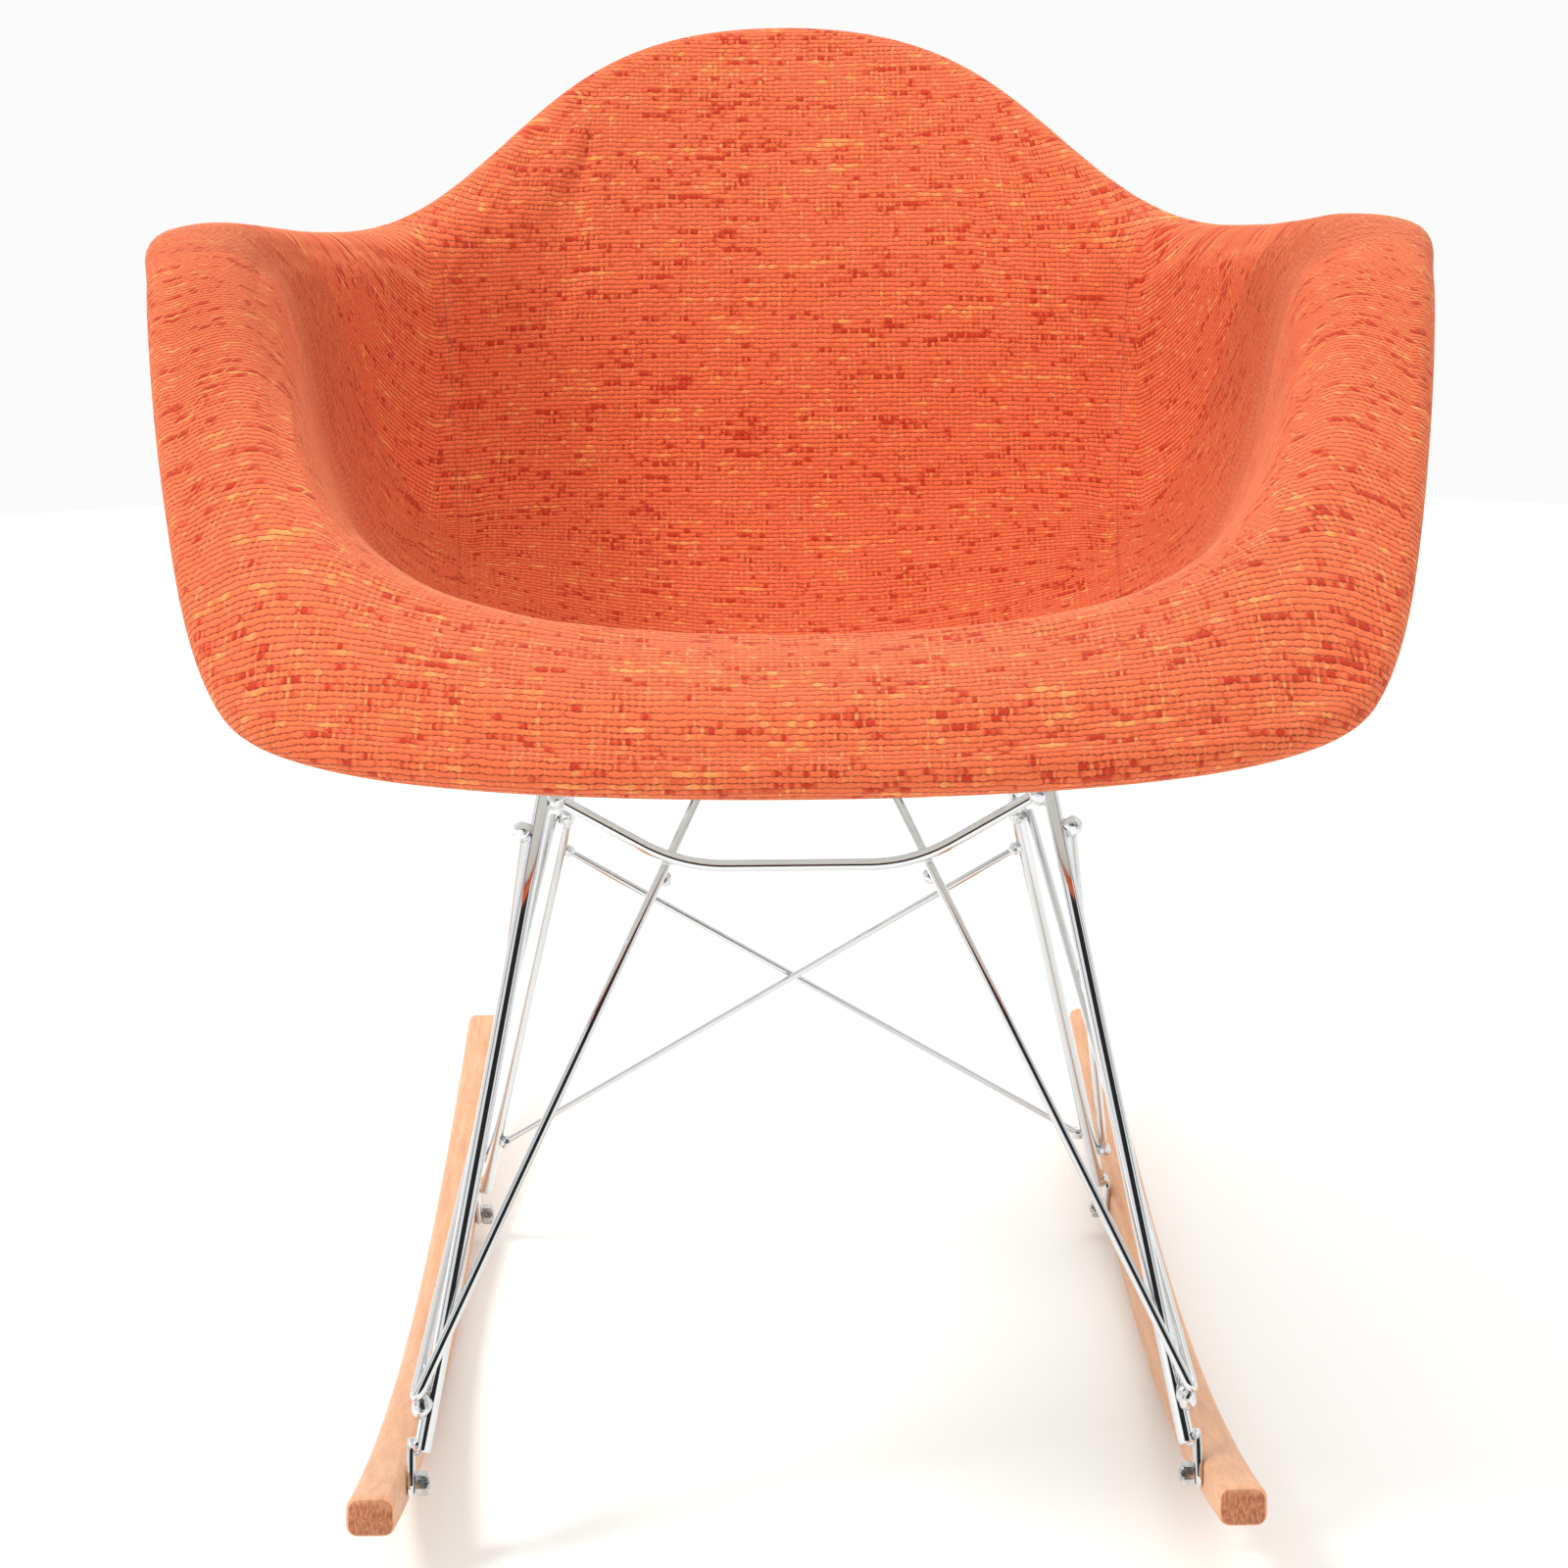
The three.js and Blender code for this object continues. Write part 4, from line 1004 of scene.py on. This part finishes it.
def build_outer_cover(cells):
    """The outer cover: a sheet stretched over the shell, with a hole round each boss."""
    grid = SeatGrid(*cells, inset=COVER_INSET)
    inner, outer = COVER_THICKNESS - HALF_THICKNESS, -HALF_THICKNESS
    layer = SeatLayer()
    upper = layer.sheet(grid, inner, True)
    roll = [layer.take(grid.points[grid.outline] + grid.normals[grid.outline] * height
                       + grid.outward * EDGE_ROLL, grid.cloth[grid.outline])
            for height in (inner - EDGE_BEVEL, outer + EDGE_BEVEL)]
    lower = layer.sheet(grid, outer, False)
    layer.loops([upper, *roll, lower])
    piece = finished("outer_upholstery", layer.mesh("outer_upholstery"), [BACK_FABRIC], 60)
    cut_away(piece, [turned(BOSS_HOLE, foot, down) for foot, down in MOUNTS.values()])
    relay_cloth(piece.data, grid)
    piece.visible_diffuse = False  # keeps its orange off the pale floor and the rods
    piece.visible_glossy = False
    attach(piece, "root")
    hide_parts("outer_cover")


def build_mounts():
    kinds = (("rubber_mount", RUBBER_PROFILE, RUBBER, "seat_mount", "rubber"),
             ("chrome_plate", PLATE_PROFILE, CHROME, "mount_plate", "chrome_wire"),
             ("cap_screw", SCREW_PROFILE, ZINC, "mount_screw", "zinc_steel"))
    for name, (foot, down) in MOUNTS.items():
        for kind, profile, material, node, slot in kinds:
            piece = turned_piece(f"{kind}_{name}", profile, foot, down, material)
            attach(piece, "root")
            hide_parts(f"{node}_{name}")


# ---------------- runners

def rocking_surface(y):
    """The height and slope of the rocking surface at y, flat at its lowest part."""
    past = y - BALANCE_Y
    lowest = (RUNNER_FLAT / 2) ** 2 / (2 * RUNNER_RADIUS)
    height = past ** 2 / (2 * RUNNER_RADIUS) - RUNNER_EASE * past ** 3 - lowest
    slope = past / RUNNER_RADIUS - 3 * RUNNER_EASE * past ** 2
    return max(height, 0.0), atan(slope)


def runner_section(height):
    """A rounded rectangle that stands on its lower edge, as (sideways, up) points."""
    round_radius = height * RUNNER_ROUNDING
    half = RUNNER_HALF_WIDTH - round_radius
    centres = [(half, round_radius), (half, height - round_radius), (-half, height - round_radius),
               (-half, round_radius)]
    points = []
    for corner, (x, z) in enumerate(centres):
        for step in range(CORNER_STEPS + 1):
            angle = (corner - 1 + step / CORNER_STEPS) * pi / 2
            points.append((x + round_radius * cos(angle), z + round_radius * sin(angle)))
    return np.array(points)


END_EASING = ((0.0, 0.86), (0.5, 0.94), (1.4, 1.0))  # distance from a runner's end, size there
END_MARGIN = 2  # from those places to the evenly spaced ones
RECESS_CLEARANCE = 0.5  # round a bolt head
THROUGH = 4  # how far the tool that cuts a recess stands out


def build_runner(side, word):
    edge = [RUNNER_HALF_LENGTH - past for past, _ in END_EASING]
    inner = edge[-1] - END_MARGIN
    stations = [-y for y in edge] + list(np.linspace(-inner, inner, RUNNER_STATIONS)) + edge[::-1]
    easing = [scale for _, scale in END_EASING]
    scales = easing + [1.0] * RUNNER_STATIONS + easing[::-1]
    rings = []
    for y, scale in zip(stations, scales):
        height, lean = rocking_surface(y)
        taper = (RUNNER_MID_HEIGHT - RUNNER_END_HEIGHT) * (y / RUNNER_HALF_LENGTH) ** 2
        full = RUNNER_MID_HEIGHT - taper
        section = runner_section(full)
        middle = np.array([0, full / 2])
        section = middle + (section - middle) * scale
        x = RUNNER_HALF_SPACING + side * section[:, 0]
        if any(abs(y - bolt_y) < FACET_LENGTH / 2 for bolt_y, _ in (FRONT_BOLT, REAR_BOLT)):
            x = np.maximum(x, RUNNER_FACE)
        z = section[:, 1]
        rings.append(np.column_stack([side * x, y - z * sin(lean), height + z * cos(lean)]))
    faces = tube_faces(len(rings), len(rings[0]))
    if side > 0:
        faces = [face[::-1] for face in faces]
    piece = MeshParts().add(np.vstack(rings), faces).build(f"beech_runner_{word}", [BEECH], 35)
    radius = BOLT_HEAD_DIAMETER / 2 + RECESS_CLEARANCE
    recess = [(RUNNER_OUTER_X - BOLT_HEAD_HEIGHT - HEAD_RECESS, radius, 0),
              (RUNNER_OUTER_X + THROUGH, radius, 0)]
    cut_away(piece, [turned(recess, (0, y, z), (side, 0, 0)) for y, z in (FRONT_BOLT, REAR_BOLT)])
    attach(piece, "root")
    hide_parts(f"runner_{word}")


# ---------------- wire base

front_leg_direction = direction(*FRONT_LEG)
rear_leg_direction = direction(*REAR_LEG)


def wire_piece(name, shells, beads, node):
    """A chrome piece of rods and weld beads that replaces one CAD node."""
    parts = MeshParts()
    for points, faces in shells:
        parts.add(points, faces)
    for points, faces in beads:
        parts.add(points, faces, 1)
    piece = parts.build(name, [CHROME, WELD_CHROME], 50)
    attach(piece, "root")
    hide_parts(node)


def foot_tab(side, lean, bolt):
    """The flat tab welded to a leg's foot, with a round lower end round its bolt."""
    half, top = TAB_WIDTH / 2, TAB_LENGTH - TAB_WIDTH / 2
    arc = [(half * cos(a), half * sin(a)) for a in np.linspace(pi, 2 * pi, 22)]
    shoulder = [(half, top - 7), (half - 2.2, top - 1), (half - 3.4, top)]
    outline = arc + shoulder + [(-across, up) for across, up in reversed(shoulder)]
    rings = []
    turn = Matrix.Rotation(-lean, 3, "X")
    edges = ((TAB_INNER_X, TAB_EDGE_SIZE), (TAB_INNER_X + TAB_BEVEL, 1.0),
             (TAB_OUTER_X - TAB_BEVEL, 1.0), (TAB_OUTER_X, TAB_EDGE_SIZE))
    for x, shrink in edges:
        for across, up in outline:
            place = turn @ Vector((0, across * shrink, top / 2 + (up - top / 2) * shrink))
            rings.append((side * x, bolt[0] + place.y, bolt[1] + place.z))
    faces = tube_faces(len(edges), len(outline))
    if side < 0:
        faces = [face[::-1] for face in faces]
    return rings, faces


def build_leg(place, side, word):
    low, high, bolt = (*FRONT_LEG, FRONT_BOLT) if place == "front" else (*REAR_LEG, REAR_BOLT)
    lean = atan2(high[1] - low[1], high[2] - low[2])
    run = direction(mirrored(low, side), mirrored(high, side))
    shaft = rod([mirrored(low, side), mirrored(high, side)], LEG_DIAMETER)
    joint = Vector(mirrored(low, side)) + run * 3 + Vector((side * 2.4, 0, 0))
    beads = [weld(joint, FOOT_WELD, run, seed=3)]
    shells = [shaft, foot_tab(side, lean, bolt)]
    wire_piece(f"chrome_{place}_leg_{word}", shells, beads, f"{place}_leg_{word}")


def rear_wire_corners():
    touch = beside(REAR_LEG[1], rear_leg_direction, Vector((1, 0, 0)), (0, 1, 0),
                   (LEG_DIAMETER, CROSS_WIRE_DIAMETER))

    def at_height(height):
        return tuple(Vector(touch) + rear_leg_direction * (height - touch[2]) / rear_leg_direction.z)

    return at_height(touch[2] - REAR_WIRE_OVERLAP), at_height(REAR_WIRE_HEIGHT)


def build_cross_wires():
    bend = CROSS_WIRE_BEND
    joint = between(FRONT_LEG[1], FRONT_LEG[0], CROSS_WIRE_JOINT)
    end = butt_end(joint, front_leg_direction, bend, (LEG_DIAMETER, CROSS_WIRE_DIAMETER))
    beads = [weld(mirrored(end, side), LEG_WELD, front_leg_direction, seed=11 + side)
             for side in (1, -1)]
    beads += [weld(mirrored(Vector(WIRE_CROSSING) + Vector((0, 2.5, -6)), side), THIN_WELD,
                   direction(mirrored(HAIRPIN_LOOP, side), mirrored(WIRE_CROSSING, side)),
                   seed=21 + side)
              for side in (1, -1)]
    path = [mirrored(end, -1), mirrored(bend, -1), bend, end]
    wire_piece("chrome_front_cross_wire", [rod(path, CROSS_WIRE_DIAMETER)], beads, "front_cross_wire")

    low, high = rear_wire_corners()
    path = [mirrored(low, -1), mirrored(high, -1), high, low]
    beads = [weld(between(mirrored(low, side), mirrored(REAR_LEG[1], side), 0.5), REAR_WIRE_WELD,
                  direction(mirrored(REAR_LEG[0], side), mirrored(REAR_LEG[1], side)), seed=31 + side)
             for side in (1, -1)]
    wire = rod(path, CROSS_WIRE_DIAMETER, REAR_WIRE_RADIUS)
    wire_piece("chrome_rear_cross_wire", [wire], beads, "rear_cross_wire")


def build_hairpin(side, word):
    loop = HAIRPIN_LOOP
    joint = between(REAR_LEG[1], REAR_LEG[0], HAIRPIN_JOINT)
    rear_top = beside(joint, rear_leg_direction, direction(joint, loop), (1, 0, 0),
                      (LEG_DIAMETER, BRACE_DIAMETER))
    rise = (HAIRPIN_TOP - loop[2]) / (WIRE_CROSSING[2] - loop[2])
    under_pan = tuple(Vector(loop).lerp(Vector(WIRE_CROSSING), rise))
    wire_point = (under_pan[0], rear_wire_corners()[1][1], REAR_WIRE_HEIGHT)
    rear_end = butt_end(wire_point, Vector((1, 0, 0)), under_pan, (CROSS_WIRE_DIAMETER, BRACE_DIAMETER))
    corners = [mirrored(corner, side) for corner in (rear_top, loop, under_pan, rear_end)]
    up_leg = direction(mirrored(FRONT_LEG[0], side), mirrored(FRONT_LEG[1], side))
    leg_touch = mirrored(Vector(FRONT_LEG[0]) + front_leg_direction * 24, side)
    beads = [weld(between(leg_touch, mirrored(loop, side), 0.5), LOOP_WELD, up_leg, seed=41 + side),
             weld(mirrored(joint, side), WIRE_WELD, up_leg, seed=43 + side),
             weld(mirrored(rear_end, side), THIN_WELD, (1, 0, 0), seed=45 + side)]
    wire_piece(f"chrome_hairpin_{word}", [rod(corners, BRACE_DIAMETER, HAIRPIN_RADIUS)], beads,
               f"hairpin_brace_{word}")


def build_side_brace(side, word):
    top_joint = between(FRONT_LEG[1], FRONT_LEG[0], SIDE_BRACE_TOP)
    foot_joint = between(REAR_LEG[0], REAR_LEG[1], SIDE_BRACE_FOOT)
    run = direction(top_joint, foot_joint)
    sizes = (LEG_DIAMETER, BRACE_DIAMETER)
    top = mirrored(beside(top_joint, front_leg_direction, run, (1, 0, 0), sizes), side)
    foot = mirrored(beside(foot_joint, rear_leg_direction, run, (1, 0, 0), sizes), side)
    beads = [weld(top, BRACE_TOP_WELD, direction(top, foot), seed=51 + side),
             weld(foot, BRACE_FOOT_WELD, direction(top, foot), seed=53 + side)]
    brace = rod([top, foot], BRACE_DIAMETER)
    wire_piece(f"chrome_side_brace_{word}", [brace], beads, f"side_brace_{word}")


def build_rear_braces():
    half = (X_BRACE_DIAMETER + GAP) / 2
    high = between(REAR_LEG[1], REAR_LEG[0], X_BRACE_TOP)
    low = between(REAR_LEG[0], REAR_LEG[1], X_BRACE_FOOT)
    sizes = (LEG_DIAMETER, X_BRACE_DIAMETER)
    top = butt_end(high, rear_leg_direction, mirrored(low, -1), sizes)
    foot = butt_end(low, rear_leg_direction, mirrored(high, -1), sizes)
    for side, place in ((1, "front"), (-1, "back")):
        ends = [Vector(mirrored(top, side)), Vector(mirrored(foot, -side))]
        ends = [tuple(end - Vector((0, side * half, 0))) for end in ends]
        beads = [weld(end, THIN_WELD, direction(*ends), seed=61 + side + k)
                 for k, end in enumerate(ends)]
        wire_piece(f"chrome_rear_brace_{place}", [rod(ends, X_BRACE_DIAMETER)], beads,
                   f"rear_brace_{place}_rod")


def build_foot_fasteners(side, word):
    """The bolts and nuts; their profiles run outwards along the bolt."""
    head = RUNNER_OUTER_X - BOLT_HEAD_HEIGHT - HEAD_RECESS + GAP
    nut_outer = TAB_INNER_X - GAP
    nut_inner = nut_outer - NUT_HEIGHT
    radius, shank, flats = BOLT_HEAD_DIAMETER / 2, BOLT_DIAMETER / 2, NUT_ACROSS_FLATS / 2
    bolt_profile = [(nut_inner - 1, shank - 0.8, 0), (nut_inner - 0.4, shank, 0), (head, shank, 0),
                    (head, radius - 0.3, 0), (head + 0.3, radius, 0), (head + 2.9, radius, 0),
                    (head + 3.5, radius - 0.6, 0), (head + 3.5, 2.4, 1), (head + 1.6, 2.3, 1)]
    nut_profile = [(nut_inner, shank + 0.2, 0), (nut_inner, flats, 0), (nut_inner + 0.9, flats, 1),
                   (nut_outer - 0.9, flats, 1), (nut_outer, flats, 0), (nut_outer, shank + 0.2, 0)]
    for place, (y, z) in (("front", FRONT_BOLT), ("rear", REAR_BOLT)):
        for kind, profile, crease in (("bolt", bolt_profile, 40), ("nut", nut_profile, 25)):
            name = f"zinc_{kind}_{place}_{word}"
            piece = turned_piece(name, profile, (0, y, z), (side, 0, 0), ZINC, crease)
            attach(piece, "root")
            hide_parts(f"foot_{kind}_{place}_{word}")


# ---------------- studio

FOCAL_LENGTH = 73.6
CAMERA_PLACE = (-0.023, -1.642, 0.733)
CAMERA_DOWN = 14.69
CAMERA_YAW = 0.65
CAMERA_ROLL = -0.40
CHAIR_MIDDLE = (0, 0, 0.3)  # what lamps and cards are aimed at, in metres
FLOOR_RADIUS = 2.8
FLOOR_SIDES = 96


def build_camera():
    down, yaw, roll = (radians(a) for a in (CAMERA_DOWN, CAMERA_YAW, CAMERA_ROLL))
    ahead = Vector((sin(yaw) * cos(down), cos(yaw) * cos(down), -sin(down)))
    right = Vector((cos(yaw), -sin(yaw), 0))
    up = right.cross(ahead)
    rolled_right = right * cos(roll) + up * sin(roll)
    rolled_up = up * cos(roll) - right * sin(roll)
    data = bpy.data.cameras.new("camera")
    data.lens = FOCAL_LENGTH
    camera = linked("camera", data)
    axes = Matrix((rolled_right, rolled_up, -ahead)).transposed().to_4x4()
    camera.matrix_world = Matrix.Translation(CAMERA_PLACE) @ axes
    bpy.context.scene.camera = camera


def aim(thing, place, axis):
    """Puts a thing at a place, with one of its axes towards the chair."""
    thing.location = place
    thing.rotation_euler = (Vector(CHAIR_MIDDLE) - Vector(place)).to_track_quat(axis, "Y").to_euler()


def flat_face(name, outline, material):
    """A stage object with one flat face."""
    mesh = bpy.data.meshes.new(name)
    mesh.from_pydata([(x, y, 0) for x, y in outline], [], [tuple(range(len(outline)))])
    mesh.materials.append(material)
    face = linked(name, mesh)
    return face


def build_floor():
    g = Graph("pale_floor", Specular_IOR_Level=0.2, Emission_Color=(1, 1, 1, 1), Emission_Strength=0.05)
    soft = g.noise(g.place(), 1.5, 3)
    g.set_shader("Base Color", g.ramp(soft, (0.3, (0.90, 0.895, 0.875)), (0.7, (0.93, 0.925, 0.905))))
    g.set_shader("Roughness", g.spread(g.noise(g.place(), 30.0, 3), 0.3, 0.7, 0.5, 0.65))
    flat_face("floor", circle(FLOOR_RADIUS, FLOOR_SIDES), g.material)


def reflection_card(name, size, place, shade):
    """A grey card that only reflections see."""
    x, y = size[0] / 2, size[1] / 2
    g = Graph(name, Base_Color=(shade, shade, shade, 1), Roughness=1.0)
    card = flat_face(name, ((-x, -y), (x, -y), (x, y), (-x, y)), g.material)
    aim(card, place, "Z")
    card.visible_camera = False
    card.visible_diffuse = False
    card.visible_shadow = False


def build_cards():
    """The dark room behind the camera, and a grey strip to each side of the chair."""
    reflection_card("dark_card", (4.6, 4.4), (0.6, -3.2, 1.9), 0.01)
    for side, word in ((1, "right"), (-1, "left")):
        reflection_card(f"grey_card_{word}", (0.7, 3.0), (2.3 * side, -0.9, 1.2), 0.3)


def lamp(name, place, size, power):
    """A square lamp that shines at the chair."""
    data = bpy.data.lights.new(name, "AREA")
    data.size = size
    data.energy = power
    aim(linked(name, data), place, "-Z")


def build_light():
    world = bpy.data.worlds.new("studio")
    world.use_nodes = True
    background = world.node_tree.nodes["Background"]
    background.inputs["Color"].default_value = (0.975, 0.985, 0.975, 1)
    background.inputs["Strength"].default_value = 0.98
    bpy.context.scene.world = world
    lamp("key", (-2.1, -0.7, 2.7), 0.7, 48)
    lamp("top", (0.2, 0.4, 2.6), 2.0, 18)
    bpy.context.scene.view_settings.view_transform = "Standard"


# ---------------- the chair

build_camera()
coarse_grid = SeatGrid(*COARSE)
fine_grid = SeatGrid(*(count * REFINEMENT for count in COARSE))
build_upholstery(coarse_grid, fine_grid)
build_shell(coarse_grid)
build_outer_cover(COARSE)
build_mounts()
build_cross_wires()
build_rear_braces()
for chair_side, side_word in ((1, "right"), (-1, "left")):
    build_runner(chair_side, side_word)
    build_leg("front", chair_side, side_word)
    build_leg("rear", chair_side, side_word)
    build_hairpin(chair_side, side_word)
    build_side_brace(chair_side, side_word)
    build_foot_fasteners(chair_side, side_word)
for mount_name in MOUNT_NAMES:
    insert_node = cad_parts[f"threaded_insert_{mount_name}"]
    insert_node.data.materials.clear()
    insert_node.data.materials.append(ZINC)

build_floor()
build_cards()
build_light()
